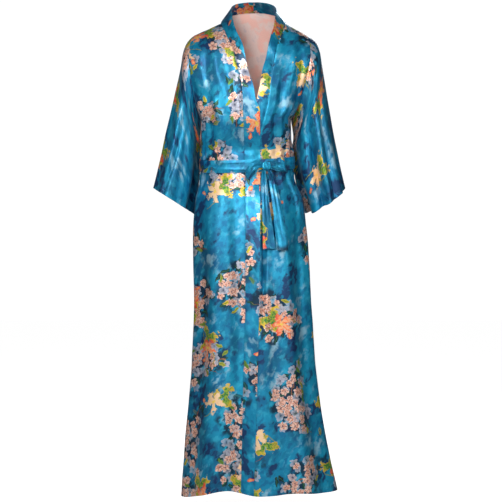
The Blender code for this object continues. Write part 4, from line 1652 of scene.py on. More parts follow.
    def leaves(self, kind: LeafKind) -> tuple:
        """Pointed leaves round the sprays.

        Args:
            kind: the kind of leaf.

        Returns:
            The mask and the colour.
        """
        g = self.g
        local, middle, picks = self.scattered(kind.scatter)
        inside = self.inside_at(middle, kind.scatter)
        near = g.step(inside, -0.36, -0.32)
        if kind.bright:
            near = g.times(near, g.step(inside, 0.12, 0.08))
        there = g.times(near, g.step(picks[2], kind.bare, kind.bare + 0.02))
        x, y = g.split(g.spun(local, picks[0]))
        along = g.math("DIVIDE", x, 0.50)
        width = g.times(g.minus(1.0, g.times(along, along)), 0.20)
        across = g.math("DIVIDE", g.math("ABSOLUTE", y), g.math("MAXIMUM", width, 0.001))
        leaf = g.blend(picks[1], kind.first, kind.second)
        leaf = g.lay(leaf, g.step(across, 0.24, 0.05), kind.vein)
        return g.times(g.step(across, 1.0, 0.75), there), leaf

    def coral(self) -> list[tuple]:
        """Coral flowers on ragged leaves, scattered apart from the sprays.

        Returns:
            The mask and colour of the stems, of the leaves, of the buds and of the flowers.
        """
        g = self.g
        local, _, picks = self.scattered(self.coral_scatter)
        there = g.step(picks[2], 0.16, 0.18)
        local = g.spun(g.scaled(local, self.coral_scatter.pitch), picks[0])
        x, y = g.split(local)
        wobble = g.linear(g.noise(self.cut, 85.0, 2.0), 1.3, -0.65)
        dabs = g.noise(self.cut, 150.0, 2.0)
        parts = []
        for spot, petals, notch, power, size in (
            (g.vector("SUBTRACT", local, self.leaf_place), 3, 0.82, 1.6, self.leaf_radius),
            (local, 5, 0.62, 1.3, self.coral_radius),
        ):
            radius, outline = self.flower(spot, petals, notch, power)
            edge = g.math("MAXIMUM", g.plus(outline, wobble), 0.05)
            out = g.math("DIVIDE", radius, g.times(edge, size))
            parts.append((out, g.times(g.step(out, 1.0, 0.84), there)))
        (leaf_out, leaf_mask), (out, mask) = parts
        leaf = g.blend(g.step(dabs, 0.40, 0.60), colour(58, 128, 66), colour(150, 176, 60))
        leaf = g.lay(leaf, g.step(leaf_out, 0.50, 0.92), colour(240, 196, 62))
        petal = g.blend(g.step(dabs, 0.38, 0.58), colour(255, 128, 84), colour(255, 190, 142))
        flush = g.times(g.step(out, 0.35, 0.95), g.step(x, -0.006, 0.012))
        petal = g.lay(petal, flush, colour(240, 62, 48))
        cream = g.blend(dabs, colour(250, 196, 140), colour(252, 226, 190))
        petal = g.lay(petal, g.step(picks[1], 0.66, 0.68), cream)
        petal = g.lay(petal, g.step(out, 0.26, 0.12), colour(250, 214, 90))
        from_bud = g.vector("SUBTRACT", local, self.bud_place)
        bud_out = g.vector("LENGTH", g.vector("DIVIDE", from_bud, self.bud_size))
        bud_mask = g.times(g.step(bud_out, 1.0, 0.8), there)
        bud = g.blend(g.step(bud_out, 0.3, 0.9), colour(255, 176, 120), colour(236, 84, 54))
        line = g.math("ABSOLUTE", g.minus(y, g.wave(x, 62.0, 0.012)))
        end = g.step(g.vector("LENGTH", local), 0.056, 0.050)
        stem_mask = g.times(g.step(line, 0.0016, 0.0007), end, there)
        return [(stem_mask, colour(150, 150, 58)), (leaf_mask, leaf), (bud_mask, bud), (mask, petal)]

    def twigs(self, local: object, inside: object) -> tuple:
        """A crooked twig with a side shoot through each spray.

        Args:
            local: the place in the spray's own measure.
            inside: how far inside the spray it is.

        Returns:
            The mask and the colour.
        """
        g = self.g
        x, y = g.split(local)
        crook = g.plus(g.wave(y, 48.0, 0.011), g.wave(y, 151.0, 0.003))
        main = g.math("ABSOLUTE", g.minus(x, crook))
        course = g.linear(x, 0.7, g.times(x, x, 14.0))
        shoot = g.math("ABSOLUTE", g.minus(g.plus(y, 0.010), course))
        near = g.math("MINIMUM", main, g.plus(shoot, g.step(x, 0.002, -0.004)))
        mask = g.times(g.step(near, 0.0030, 0.0016), g.step(inside, -0.42, -0.25))
        return mask, g.blend(g.step(near, 0.0016, 0.0003), colour(70, 52, 56), colour(168, 112, 84))

    def ground(self, inside: object) -> NodeSocket:
        """The clouded teal behind the flowers, darker close to the sprays.

        Args:
            inside: how far inside a spray each place is.

        Returns:
            The colour.
        """
        g = self.g
        slanted = g.vector("MULTIPLY", g.turned(self.cut, 0.5), (1.0, 0.62, 0.0))
        cloud = g.noise(slanted, 13.0, 5.0)
        broad = g.noise(g.vector("ADD", self.cut, (3.1, 1.7, 0.0)), 5.5, 3.0)
        strokes = g.noise(g.vector("ADD", slanted, (5.3, 2.9, 0.0)), 60.0, 4.0)
        wisps = g.noise(g.vector("ADD", slanted, (8.7, 6.1, 0.0)), 17.0, 5.0)
        base = g.blend(g.step(cloud, 0.36, 0.58), colour(6, 104, 142), colour(12, 142, 184))
        pale = g.times(g.step(wisps, 0.58, 0.70), g.step(strokes, 0.38, 0.60))
        navy = g.times(g.step(wisps, 0.46, 0.36), g.step(strokes, 0.36, 0.52))
        shade = g.times(g.step(inside, -0.50, 0.0), g.step(strokes, 0.62, 0.46))
        for mask, tint, strength in (
            (g.step(broad, 0.48, 0.62), colour(20, 160, 200), 0.8),
            (g.step(strokes, 0.54, 0.70), colour(60, 186, 216), 0.45),
            (g.step(strokes, 0.47, 0.34), colour(4, 82, 138), 0.50),
            (pale, colour(168, 204, 220), 0.6),
            (navy, colour(18, 38, 92), 0.9),
            (shade, colour(8, 38, 60), 0.92),
        ):
            base = g.lay(base, mask, tint, strength)
        return base

    def group(self) -> NodeTree:
        """Lays every motif over the ground, from the lowest up.

        Returns:
            The group, from the cut's places to a colour.
        """
        sprays = self.g.group(self.spray, self.cut)
        inside, local = sprays.outputs["Inside"], sprays.outputs["Local"]
        parts = [self.leaves(self.dark_leaf), self.twigs(local, inside)]
        parts += [self.blossoms(layer) for layer in self.layers]
        parts += [self.leaves(self.bright_leaf), *self.coral()]
        printed = self.ground(inside)
        for mask, tint in parts:
            printed = self.g.lay(printed, mask, tint)
        self.g.feed(self.end, {"Color": printed})
        return self.g.tree


@dataclass(frozen=True)
class PrintedSatin:
    """The shiny printed face of the cloth."""

    name: str
    roughness: float = 0.44
    uneven: float = 0.16
    gleam: float = 0.46
    sheen: float = 0.04
    crush_depth: float = 0.6 * MM

    def make(self, print_group: NodeTree) -> Material:
        """Makes the material.

        Args:
            print_group: the print, from the cut's places to a colour.

        Returns:
            The material.
        """
        material, g, shader = new_finish(self.name)
        cut = g.add("UVMap", uv_map="cut").outputs[0]
        crush = g.noise(g.vector("MULTIPLY", cut, (1.0, 0.25, 0.0)), 90.0, 3.0)
        dull = g.linear(g.noise(cut, 55.0, 3.0), self.uneven, self.roughness - self.uneven / 2)
        finish = {
            "Base Color": g.group(print_group, cut).outputs["Color"],
            "Roughness": dull,
            "Normal": g.bump(crush, 0.35, self.crush_depth),
            "Metallic": self.gleam,
            "Sheen Weight": self.sheen,
            "Sheen Roughness": 0.4,
            "Specular IOR Level": 0.5,
        }
        g.feed(shader, finish)
        return material


@dataclass(frozen=True)
class SatinReverse:
    """The dull pale back of the cloth, where the print shows through as patches."""

    name: str = "satin_reverse"
    grain_depth: float = 0.2 * MM

    def make(self) -> Material:
        """Makes the material.

        Returns:
            The material.
        """
        material, g, shader = new_finish(self.name)
        cut = g.add("UVMap", uv_map="cut").outputs[0]
        patches, grain = g.noise(cut, 22.0, 3.0), g.noise(cut, 420.0, 2.0)
        tint = g.blend(g.step(patches, 0.46, 0.60), colour(244, 216, 208), colour(252, 200, 186))
        tint = g.lay(tint, g.step(patches, 0.42, 0.34), colour(228, 206, 204))
        tint = g.lay(tint, g.step(grain, 0.5, 0.7), colour(190, 160, 160), 0.12)
        bump = g.bump(grain, 0.2, self.grain_depth)
        rough = g.linear(grain, 0.15, 0.6)
        g.feed(shader, {"Base Color": tint, "Roughness": rough, "Normal": bump})
        return material


@dataclass(frozen=True)
class Thread:
    """The sewing thread: two plies twisted together."""

    name: str = "sewing_thread"
    tint: Colour = colour(30, 112, 142)
    worn: Colour = colour(64, 150, 176)
    blotch_rate: float = 60.0
    ply_rate: float = 1800.0
    ply_depth: float = 0.1 * MM

    def make(self) -> Material:
        """Makes the material.

        Returns:
            The material.
        """
        material, g, shader = new_finish(self.name)
        place = g.add("TexCoord").outputs["Object"]
        blotch, ply = (
            g.add("TexNoise", {"Vector": place, "Scale": rate}).outputs["Fac"]
            for rate in (self.blotch_rate, self.ply_rate)
        )
        tint = g.blend(g.step(blotch, 0.4, 0.65), self.tint, self.worn)
        rough = g.linear(ply, 0.3, 0.35)
        bump = g.bump(ply, 0.4, self.ply_depth)
        g.feed(shader, {"Base Color": tint, "Roughness": rough, "Normal": bump})
        return material


PANEL_SEAMS = (Edge.FIRST_COLUMN, Edge.LAST_COLUMN, Edge.LAST_ROW)

CUT_PLACES = {
    "front_right": CutPlace(0.62, 0.03, -1, 1),
    "front_left": CutPlace(1.37, 0.71),
    "back_panel": CutPlace(3.20, 0.24, -1, 1),
    "sleeve_right": CutPlace(0.78, 1.90, -1, -1),
    "sleeve_left": CutPlace(1.79, 2.52, 1, -1),
    "neckband_right": CutPlace(0.91, 4.05, -1, 1),
    "neckband_left": CutPlace(1.22, 4.43),
    "belt_waist": CutPlace(0.31, 2.13),
    "belt_loop_right": CutPlace(0.602, 1.805),
    "belt_loop_left": CutPlace(0.82, 1.725),
    "belt_tail_right": CutPlace(0.64, 1.745),
    "belt_tail_left": CutPlace(0.70, 1.745),
    "belt_knot": CutPlace(0.865, 1.822),
}


@dataclass
class Piece:
    """A cut piece on its way from the plain form to the finished shell."""

    node: str
    sheet: Sheet
    angle: Array
    rise: Array
    seams: tuple[Edge, ...]
    middle: Array
    plain: Array


@dataclass
class Robe:
    """The body, sleeves and neckband of the robe."""

    panel_steps: int = 60
    nape_steps: int = 28
    band_steps: int = 8
    yoke_rows: int = 56
    skirt_step: float = 6.5 * MM
    waist_step: float = 4 * MM
    sleeve_steps: int = 84
    # The sleeve's length along its outer line and along its underarm seam
    sleeve_outer: float = 0.447
    sleeve_inner: float = 0.265
    cloth: float = 0.7 * MM
    band_cloth: float = 1.6 * MM
    hem_depth: float = 14.2 * MM
    hem_gap: float = 0.9 * MM
    hem_groove: float = 0.35 * MM
    groove_width: float = 1.6 * MM
    seam_dip: float = 0.8 * MM
    seam_width: float = 2.2 * MM
    pucker: float = 0.5 * MM
    pucker_reach: float = 7 * MM

    def __post_init__(self) -> None:
        """Sets out the plain grids of every piece."""
        self.body = Body()
        self.belt = BeltLine()
        self.relief = Relief(self.body, self.belt)
        self.rows = self.body.rows(self.skirt_step, self.waist_step, self.yoke_rows)
        self.shares = fine_ends(self.panel_steps, PANEL_WIDTH, SEAM_STEPS, SEAM_STEPS)
        self.pieces: dict[str, Piece] = {}
        self.set_out_body()
        for name, side in SIDES.items():
            self.set_out_band(name, side)
            self.set_out_sleeve(name, side)

    def add(
        self,
        node: str,
        points: Array,
        angle: Array,
        rise: Array,
        seams: tuple[Edge, ...],
        wraps: bool = False,
    ) -> None:
        """Keeps a plain grid as a piece, with its angles and rises on the form and its seams."""
        middle = points.mean(axis=1, keepdims=True) if wraps else points * (0, 0, 1) + BODY_MIDDLE
        self.pieces[node] = Piece(node, Sheet(points, wraps), angle, rise, seams, middle, points)

    def armhole_ring(self, side: int, front: Array, back: Array) -> Array:
        """The armhole's seam as a ring, down the front panel and up the back.

        Args:
            side: -1 for the right armhole, 1 for the left.
            front: the front's grid.
            back: the back panel's grid.

        Returns:
            The points, from the shoulder on.
        """
        rows = slice(-self.yoke_rows - 1, None)
        down_front, up_back = front[rows, -1][::-1], back[rows, -1 if side > 0 else 0]
        return np.concatenate((down_front, up_back[1:-1]))

    def set_out_body(self) -> None:
        """The two fronts, from band seam to side, and the back, from right to left."""
        rows, share = self.rows, self.shares[None, :]
        for name, side in SIDES.items():
            seam_x = self.body.edge[side]["seam"](rows.height)
            side_x = rows.left if side > 0 else rows.right
            first = np.arcsin((seam_x - rows.centre) / rows.half)
            round_x = rows.centre + rows.half * np.sin(mix(first, side * math.pi / 2, share))
            x = mix(round_x, mix(seam_x, side_x, share), ease(rows.rise / FRONT_STRAIGHT))
            lap = self.body.lap(rows, x, side)
            points, angle = self.body.points(rows, x, -1, lap, seam_x)
            self.add("front_" + name, points, angle, rows.rise, PANEL_SEAMS)
        panel = len(self.shares) - 1
        spans = 2 * panel + self.nape_steps
        nape = np.arange(1, self.nape_steps) / self.nape_steps
        side_part = self.panel_steps / (2 * self.panel_steps + self.nape_steps)
        first, middle = self.shares * side_part, mix(side_part, 1 - side_part, nape)
        turn = np.concatenate((first, middle, 1 - first[::-1]))[None, :]
        round_x = rows.centre + rows.half * np.sin(math.pi * (turn - 0.5))
        swing = math.pi * (nape - 0.5)
        neck_x = np.where(swing > 0, NECK_LEFT, -NECK_RIGHT) * np.sin(swing)
        right_x, left_x = mix(rows.right, NECK_RIGHT, share), mix(rows.left, NECK_LEFT, share[:, ::-1])
        top_x = np.concatenate((right_x, neck_x[None, :] + 0 * rows.right, left_x), axis=1)
        x = mix(round_x, top_x, ease(rows.rise / BACK_STRAIGHT))
        points, angle = self.body.points(rows, x, 1)
        self.add("back_panel", points, angle, rows.rise, PANEL_SEAMS)
        self.nape_start = {-1: panel, 1: spans - panel}

    def set_out_band(self, name: str, side: int) -> None:
        """Half the neckband: up the front edge from the hem, then round to the nape.

        Args:
            name: right or left.
            side: -1 or 1.
        """
        rows, body = self.rows, self.body
        front, back = self.pieces["front_" + name].sheet.points, self.pieces["back_panel"]
        share = np.linspace(0, 1, self.band_steps + 1)[None, :]
        edge_x, seam_x = body.edge[side]["edge"](rows.height), body.edge[side]["seam"](rows.height)
        stand = ease((rows.height - LEAN_START) / (LEAN_FULL - LEAN_START))[..., None]
        forward, up = body.lean["forward"], body.lean["up"]
        lean = grid_of(edge_x - seam_x, -forward(rows.height), up(rows.height))
        x = mix(seam_x, edge_x, share)
        flat, angle = body.points(rows, x, -1, body.lap(rows, x, side), seam_x)
        seam = front[:, :1]
        points = mix(flat, seam + lean * share[..., None], stand)
        points[:, :1] = seam
        steps = self.nape_steps // 2
        start = self.nape_start[side]
        columns = start - side * np.arange(1, steps + 1)
        nape_seam = back.sheet.points[-1, columns][:, None, :]
        side_lean = np.array((SIDE_LEAN_ACROSS * -side, -forward(NECK), up(NECK)))
        nape_lean = np.array((0.0, -NAPE_LEAN.forward, NAPE_LEAN.up))
        turn = np.sin(math.pi / 2 * np.arange(1, steps + 1) / steps)[:, None, None] ** 1.5
        nape = nape_seam + mix(side_lean, nape_lean, turn) * share[..., None]
        points = np.concatenate((points, nape))
        angle = np.concatenate((angle, np.full(nape.shape[:2], 180.0)))
        rise = np.concatenate((rows.rise, np.ones((steps, 1))))
        self.add("neckband_" + name, points, angle, rise, (Edge.FIRST_COLUMN, Edge.LAST_ROW))

    def set_out_sleeve(self, name: str, side: int) -> None:
        """The rings of a sleeve, from its armhole seam to its cuff.

        Args:
            name: right or left.
            side: -1 or 1.
        """
        inner, sag, cling = (LEFT_CUFF_INNER, LEFT_CUFF_SAG, LEFT_CLING)
        if side < 0:
            inner, sag, cling = (RIGHT_CUFF_INNER, 0.0, RIGHT_CLING)
        table, yoke = curves_of(SLEEVE_LINES), self.yoke_rows
        front, back = self.pieces["front_" + name], self.pieces["back_panel"]
        seam = self.armhole_ring(side, front.sheet.points, back.sheet.points)[None]
        turns = 2 * math.pi * np.arange(seam.shape[1])[None] / seam.shape[1]
        underarm = seam[0, yoke]
        out = (1 + np.cos(turns)) / 2
        length = mix(self.sleeve_inner, self.sleeve_outer, out)
        plain = fine_ends(self.sleeve_steps, self.sleeve_outer, SEAM_STEPS)[:, None]
        cuff = np.array((0.0, *HEM_STEPS))[::-1, None]
        along = np.concatenate((plain * (1 - CUFF_ROWS / length), 1 - cuff / length))
        outer_x, outer_z, half_depth = (table[key] for key in (name + "_x", name + "_z", "half_depth"))
        under = Curve((0.0, 0.45, 1.0), (0.0, 0.50, 1.0))(along)
        cling *= ease((under - 0.15) / 0.2) * ease((1 - under) / 0.35)
        inner_x = mix(underarm[0], inner[0], under) - side * cling
        inner_z = mix(underarm[2], inner[1], under)
        settle = ease(along / SLEEVE_SETTLE)
        swing = SLEEVE_SWING * along + SLEEVE_TUCK * (1 - out) * settle
        low = sag * np.maximum(0, np.sin(turns)) * along**3
        oval = grid_of(
            mix(inner_x, outer_x(along), out),
            swing - half_depth(along) * np.sin(turns),
            mix(inner_z, outer_z(along), out) - low,
        )
        start = grid_of(
            mix(underarm[0], outer_x(0.0), out),
            -half_depth(0.0) * np.sin(turns),
            mix(underarm[2], outer_z(0.0), out),
        )
        points = oval + (seam - start) * (1 - settle)[..., None]
        middle = grid_of((inner_x + outer_x(along)) / 2, swing, (inner_z + outer_z(along)) / 2)
        angle = np.degrees(turns) + 0 * along
        lift = fold_lift(SLEEVE_FOLDS, angle, along, 2.5)
        lift += fold_lift(SLEEVE_CREASES[name], angle, along, 2.5)
        points = points + unit(points - middle) * lift[..., None]
        points, angle, along = (np.roll(grid, -yoke, axis=1) for grid in (points, angle, along))
        self.add("sleeve_" + name, points, angle, along, (Edge.FIRST_ROW,), wraps=True)

    def seam_lift(self, piece: Piece) -> Array:
        """The dip along each seam and hem, and the small puckers beside it.

        Args:
            piece: the piece.

        Returns:
            The lift in metres.
        """
        points = piece.sheet.points
        across = row_lengths(points)
        steps = np.linalg.norm(np.diff(points, axis=0), axis=2)
        down = np.concatenate((np.zeros((1, points.shape[1])), np.cumsum(steps, axis=0)))
        reach = {
            Edge.FIRST_COLUMN: across,
            Edge.LAST_COLUMN: across[:, -1:] - across,
            Edge.FIRST_ROW: down,
            Edge.LAST_ROW: down[-1:] - down,
        }
        near = np.minimum.reduce([reach[seam] for seam in piece.seams])
        lift = -self.seam_dip * np.exp(-((near / self.seam_width) ** 2))
        for place in zip(*np.nonzero(near < 4 * self.pucker_reach)):
            wave = noise.noise(Vector(points[place] * 95))
            lift[place] += self.pucker * wave * math.exp(-near[place] / self.pucker_reach)
        edge = self.turned_edge(piece.node)
        if edge:
            past = reach[edge] - HEM_STITCH
            waves = 1 + 0.9 * np.sin(across * 420 + 2.5 * np.sin(across * 61))
            lift -= self.hem_groove * waves * np.exp(-((past / self.groove_width) ** 2))
        return lift

    @staticmethod
    def turned_edge(node: str) -> Edge | None:
        """The edge of a piece that is turned in: the hem of a panel, or a cuff."""
        edge = Edge.LAST_ROW if node.startswith("sleeve") else Edge.FIRST_ROW
        return None if node.startswith("neckband") else edge

    def shape(self) -> None:
        """Moves every plain grid out to its creased form."""
        pieces = list(self.pieces.values())
        for piece in pieces:
            piece.sheet.face_out(piece.middle)
        pool_normals([piece.sheet for piece in pieces])
        for piece in pieces:
            piece.sheet.lay_flat()
        moved = {}
        for piece in pieces:
            sheet = piece.sheet
            if sheet.wraps:
                continue
            lift = self.relief.lift(sheet.points, piece.angle, piece.rise) + self.seam_lift(piece)
            moved[piece.node] = sheet.points + sheet.normals * lift[..., None]
        for name, side in SIDES.items():
            piece = self.pieces["sleeve_" + name]
            ring = self.armhole_ring(side, moved["front_" + name], moved["back_panel"])
            ring = np.roll(ring, -self.yoke_rows, axis=0)
            sheet = piece.sheet
            lift = self.relief.crinkle(sheet.points) + self.seam_lift(piece)
            points = sheet.points + sheet.normals * lift[..., None]
            shift = ring - points[0]
            points = points + shift[None] * (1 - ease(piece.rise / 0.12))[..., None]
            moved[piece.node] = points
        for piece in pieces:
            piece.sheet.points = moved[piece.node]
            piece.sheet.face_out(piece.middle)
        pool_normals([piece.sheet for piece in pieces])

    @staticmethod
    def solids_of(node: str) -> list[str]:
        """The solids that stand for a piece: the long ones are parted under the belt."""
        return [node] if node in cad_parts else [node + "_upper", node + "_skirt"]

    def sew(self, piece: Piece, stitches: Stitching) -> None:
        """Sews a piece's hem, or a neckband's seam.

        Args:
            piece: the piece, before its hem is turned in.
            stitches: the stitching that the rows are added to.
        """
        sheet, edge = piece.sheet, self.turned_edge(piece.node)
        if edge is None:
            line = mix(sheet.points[:, 0], sheet.points[:, 1], 0.5)
            stitches.sew(line, sheet.normals[:, 0], self.band_cloth / 2)
            return
        reach = np.abs(sheet.down[:, 0] - sheet.down[0 if edge is Edge.FIRST_ROW else -1, 0])
        row = int(np.argmin(np.abs(reach - HEM_STITCH)))
        line, normals = sheet.points[row], sheet.normals[row]
        if sheet.wraps:
            line, normals = closed(line), closed(normals)
        stitches.sew(line, normals, self.cloth / 2)

    def make(
        self,
        satin: Material,
        band_satin: Material,
        inside: Material,
        stitches: Stitching,
    ) -> None:
        """Args:
            satin: the finish of the panels and sleeves.
            band_satin: the finish of the neckband.
            inside: the finish of the cloth's back.
            stitches: the stitching that the seams and hems are added to.
        """
        for piece in self.pieces.values():
            sheet, band = piece.sheet, piece.node.startswith("neckband")
            self.sew(piece, stitches)
            edge = self.turned_edge(piece.node)
            if edge:
                sheet.turn_in(edge, self.hem_depth, self.hem_gap)
            sheet.shift_cut(CUT_PLACES[piece.node])
            finish, thickness = (band_satin, self.band_cloth) if band else (satin, self.cloth)
            back = finish if band else inside
            shell = make_shell(piece.node + "_cloth", sheet, thickness, finish, back)
            declare(shell, self.solids_of(piece.node), sheet)


@dataclass
class TieBelt:
    """The belt as it is tied: round the waist, a knot, two bow loops and two ends."""

    robe: Robe
    finish: Material
    stitches: Stitching
    cloth: float = 1.6 * MM
    off_cloth: float = 2.15 * MM
    # How far past the overlap's edge the belt comes down to the front beneath
    lap_clear: float = 14 * MM
    crown: float = 0.5 * MM
    knot_size: Place = (27 * MM, 18 * MM, 24 * MM)
    knot_x: float = 0.036
    knot_drop: float = 2 * MM
    knot_flat: float = 0.3
    knot_gap: float = 1.3 * MM
    knot_power: float = 4.0
    knot_cuts: int = 22
    tail_settle: float = 0.035
    tail_round: float = 0.8 * MM
    tail_twist: float = 0.8 * MM
    across_steps: int = 14
    loop_steps: int = 90
    tail_steps: int = 96

    def __post_init__(self) -> None:
        """Works out the belt's line round the waist and where the knot sits."""
        self.line = self.robe.belt
        self.ring, self.outward = self.waist_ring()
        front = self.ring[self.ring[:, 1] < 0]
        order = np.argsort(front[:, 0])
        reach = self.knot_x + self.knot_size[0] * np.linspace(-self.knot_flat, self.knot_flat, 9)
        depth = np.interp(reach, front[order, 0], front[order, 1]).min()
        off = self.knot_gap + self.knot_size[1] / 2
        level = self.line.height_at(np.array((self.knot_x, depth)))
        self.knot = np.array((self.knot_x, depth - off, level - self.knot_drop))

    def waist_ring(self) -> tuple[Array, Array]:
        """The belt's middle line round the waist, clear of the cloth beneath it.

        Returns:
            The points of the ring, and the way out at each.
        """
        row = int(np.argmin(np.abs(self.robe.rows.height[:, 0] - BELT_FOOT)))
        right, band, left, back = (
            self.robe.pieces[name].plain[row]
            for name in ("front_right", "neckband_right", "front_left", "back_panel")
        )
        over = [*right[::-1][:-1], *band]
        beneath = [place for place in left if place[0] > over[-1][0] + self.lap_clear]
        ring = np.array([*over, *beneath, *back[::-1][1:-1]])
        for _ in range(3):
            ring = (np.roll(ring, 1, axis=0) + 2 * ring + np.roll(ring, -1, axis=0)) / 4
        around = np.roll(ring, -1, axis=0) - np.roll(ring, 1, axis=0)
        outward = unit(grid_of(around[:, 1], -around[:, 0], 0.0))
        return ring + outward * self.off_cloth, outward

    def crease(self, creases: Sequence[Fold], along: Amount, place: Amount) -> Array:
        """The lift of creases that run along the belt.

        Args:
            creases: the creases.
            along: the share of the way along, at each point.
            place: the place across, from -1 to 1, at each point.

        Returns:
            The lift in metres.
        """
        lift = np.zeros(np.broadcast(along, place).shape)
        for crease in creases:
            t = (along - crease.start) / (crease.end - crease.start)
            middle = mix(crease.place_start, crease.place_end, t)
            across = np.exp(-(((place - middle) / crease.half_width) ** 2))
            lift += crease.depth * across * ease(t * 4) * ease((1 - t) * 4)
        return lift

    def finish_sheet(
        self, node: str, sheet: Sheet
    ) -> Object:
        """Args:
            node: the solid it stands for.
            sheet: its grid, with normals.

        Returns:
            The new object.
        """
        sheet.lay_flat()
        sheet.shift_cut(CUT_PLACES[node])
        piece = make_shell(node + "_cloth", sheet, self.cloth, self.finish, self.finish)
        declare(piece, (node,), sheet)
        return piece

    def make_waist(self) -> Object:
        """The length of belt that goes round the waist.

        Returns:
            The new object.
        """
        place = np.linspace(-1, 1, self.across_steps + 1)
        points = np.repeat(self.ring[None], len(place), axis=0)
        level = self.line.height_at(self.ring)
        points[..., 2] = level[None] + place[:, None] * self.line.width / 2
        share = np.arange(len(self.ring))[None] / len(self.ring)
        lift = self.crease(WAIST_CREASES, (share - self.knot_share()) % 1.0, place[:, None])
        crown = self.crown * (1 - place**4)[:, None]
        gathers = self.robe.relief.crinkle(points) * 0.35
        lift = np.maximum(lift + crown + gathers, -0.3 * MM)
        points = points + self.outward[None] * lift[..., None]
        sheet = Sheet(points, wraps=True)
        sheet.face_out(BODY_MIDDLE)
        for row in (1, -2):
            line, normals = closed(sheet.points[row]), closed(sheet.normals[row])
            self.stitches.sew(line, normals, self.cloth / 2)
        return self.finish_sheet("belt_waist", sheet)

    def knot_share(self) -> float:
        """How far round the ring the knot sits."""
        distance = np.linalg.norm(self.ring[:, :2] - self.knot[:2], axis=1)
        return float(np.argmin(distance)) / len(self.ring)

    def make_loop(self, node: str, table: Sequence[RibbonPoint]) -> Object:
        """A bow loop, gathered where the knot holds it.

        Args:
            node: the solid it stands for.
            table: its stations from the knot out and back.

        Returns:
            The new object.
        """
        curves = curves_of(table, np.linspace(0, 1, len(table)))
        along = np.linspace(0, 1, self.loop_steps + 1)[:, None]
        place = np.linspace(-1, 1, self.across_steps + 1)[None]
        turn, half = np.radians(curves["turn"](along)), curves["width"](along) / 2
        points = grid_of(
            self.knot[0] + curves["across"](along) + np.cos(turn) * half * place,
            self.knot[1] - curves["out"](along),
            self.knot[2] + curves["up"](along) + np.sin(turn) * half * place,
        )
        lift = self.crease(LOOP_CREASES, along, place)
        sheet = self.pressed(points, points.mean(axis=(0, 1)), lift)
        return self.finish_sheet(node, sheet)

    def pressed(self, points: Array, middle: Array, lift: Array) -> Sheet:
        """A loose stretch of the belt with its creases, sewn along both long edges.

        Args:
            points: the plain grid.
            middle: a point behind it.
            lift: how far its creases move it out.

        Returns:
            The sheet.
        """
        sheet = Sheet(points)
        sheet.face_out(middle)
        sheet.points = points + sheet.normals * lift[..., None]
        sheet.face_out(middle)
        for column in (1, -2):
            self.stitches.sew(sheet.points[:, column], sheet.normals[:, column], self.cloth / 2)
        return sheet

    def make_tail(self, node: str, table: Sequence[TailPoint]) -> Object:
        """A hanging end of the belt, from the knot's foot to its own hem.

        Args:
            node: the solid it stands for.
            table: its stations from the top down.

        Returns:
            The new object.
        """
        curves = curves_of(table)
        foot = self.knot[2] - self.knot_size[2] / 2
        share = np.linspace(0, 1, self.tail_steps + 1)[:, None]
        place = np.linspace(-1, 1, self.across_steps + 1)[None]
        drop = mix(table[0].drop, table[-1].drop, share)
        height = foot - drop + 0 * place
        x = self.knot[0] + curves["across"](drop) + place * curves["width"](drop) / 2
        hanging = self.robe.body.points(self.robe.body.levels(height), x, -1)[0][..., 1]
        hanging = hanging - curves["off"](drop) - self.tail_round * (1 - place**2)
        y = mix(self.knot[1], hanging, ease(drop / self.tail_settle))
        lift = self.crease(TAIL_CREASES, share, place)
        lift += self.tail_twist * np.sin(share * 9.0 + table[0].across * 900) * place
        sheet = self.pressed(grid_of(x, y, height), BODY_MIDDLE, lift)
        self.stitches.sew(sheet.points[-2], sheet.normals[-2], self.cloth / 2)
        return self.finish_sheet(node, sheet)

    def make_knot(self) -> Object:
        """The knot: a turn of the belt drawn tight, with the wraps' creases.

        Returns:
            The new object.
        """
        bpy.ops.object.select_all(action="DESELECT")
        bpy.ops.mesh.primitive_cube_add(size=2.0)
        knot = bpy.context.object
        knot.name = "belt_knot_cloth"
        bpy.ops.object.mode_set(mode="EDIT")
        bpy.ops.mesh.subdivide(number_cuts=self.knot_cuts)
        bpy.ops.object.mode_set(mode="OBJECT")
        places = np.array([vert.co[:] for vert in knot.data.vertices])
        reach = (np.abs(places) ** self.knot_power).sum(axis=1) ** (1 / self.knot_power)
        places = places / reach[:, None]
        x, z = places[:, 0], places[:, 2]
        wraps = 0.9 * MM * np.cos(4.2 * (x * 1.25 + z * 0.35) + 0.5)
        wraps -= 1.3 * MM * np.exp(-(((x - 0.42 + 0.3 * z) / 0.12) ** 2))
        wraps -= 0.9 * MM * np.exp(-(((x + 0.5 + 0.2 * z) / 0.10) ** 2))
        half = np.array(self.knot_size) / 2
        flank = 1 - 0.16 * z * z - 0.05 * x * x
        points = places * half * grid_of(flank, 1 + wraps / half[1], 1 - 0.10 * x * x)
        for vert, point in zip(knot.data.vertices, points + self.knot):
            vert.co = point
        uv = knot.data.uv_layers[0]
        uv.name = "cut"
        across, down = CUT_PLACES["belt_knot"][:2]
        for loop in knot.data.loops:
            point = points[loop.vertex_index]
            uv.data[loop.index].uv = (across + point[0], down + point[2])
        knot.data.materials.append(self.finish)
        knot.data.shade_smooth()
        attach(knot, "root")
        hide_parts("belt_knot")
        report(knot)
        return knot

    def make(self) -> None:
        """Makes every stretch of the belt."""
        self.make_knot()
        self.make_waist()
        self.make_loop("belt_loop_right", RIGHT_LOOP)
        self.make_loop("belt_loop_left", LEFT_LOOP)
        self.make_tail("belt_tail_right", RIGHT_TAIL)
        self.make_tail("belt_tail_left", LEFT_TAIL)


WHITE = (1.0, 1.0, 1.0, 1.0)


class SoftBox(NamedTuple):
    """A large soft light: where it stands, what it points at and how strong it is."""

    name: str
    place: Place
    target: Place
    width: float
    height: float
    watts: float


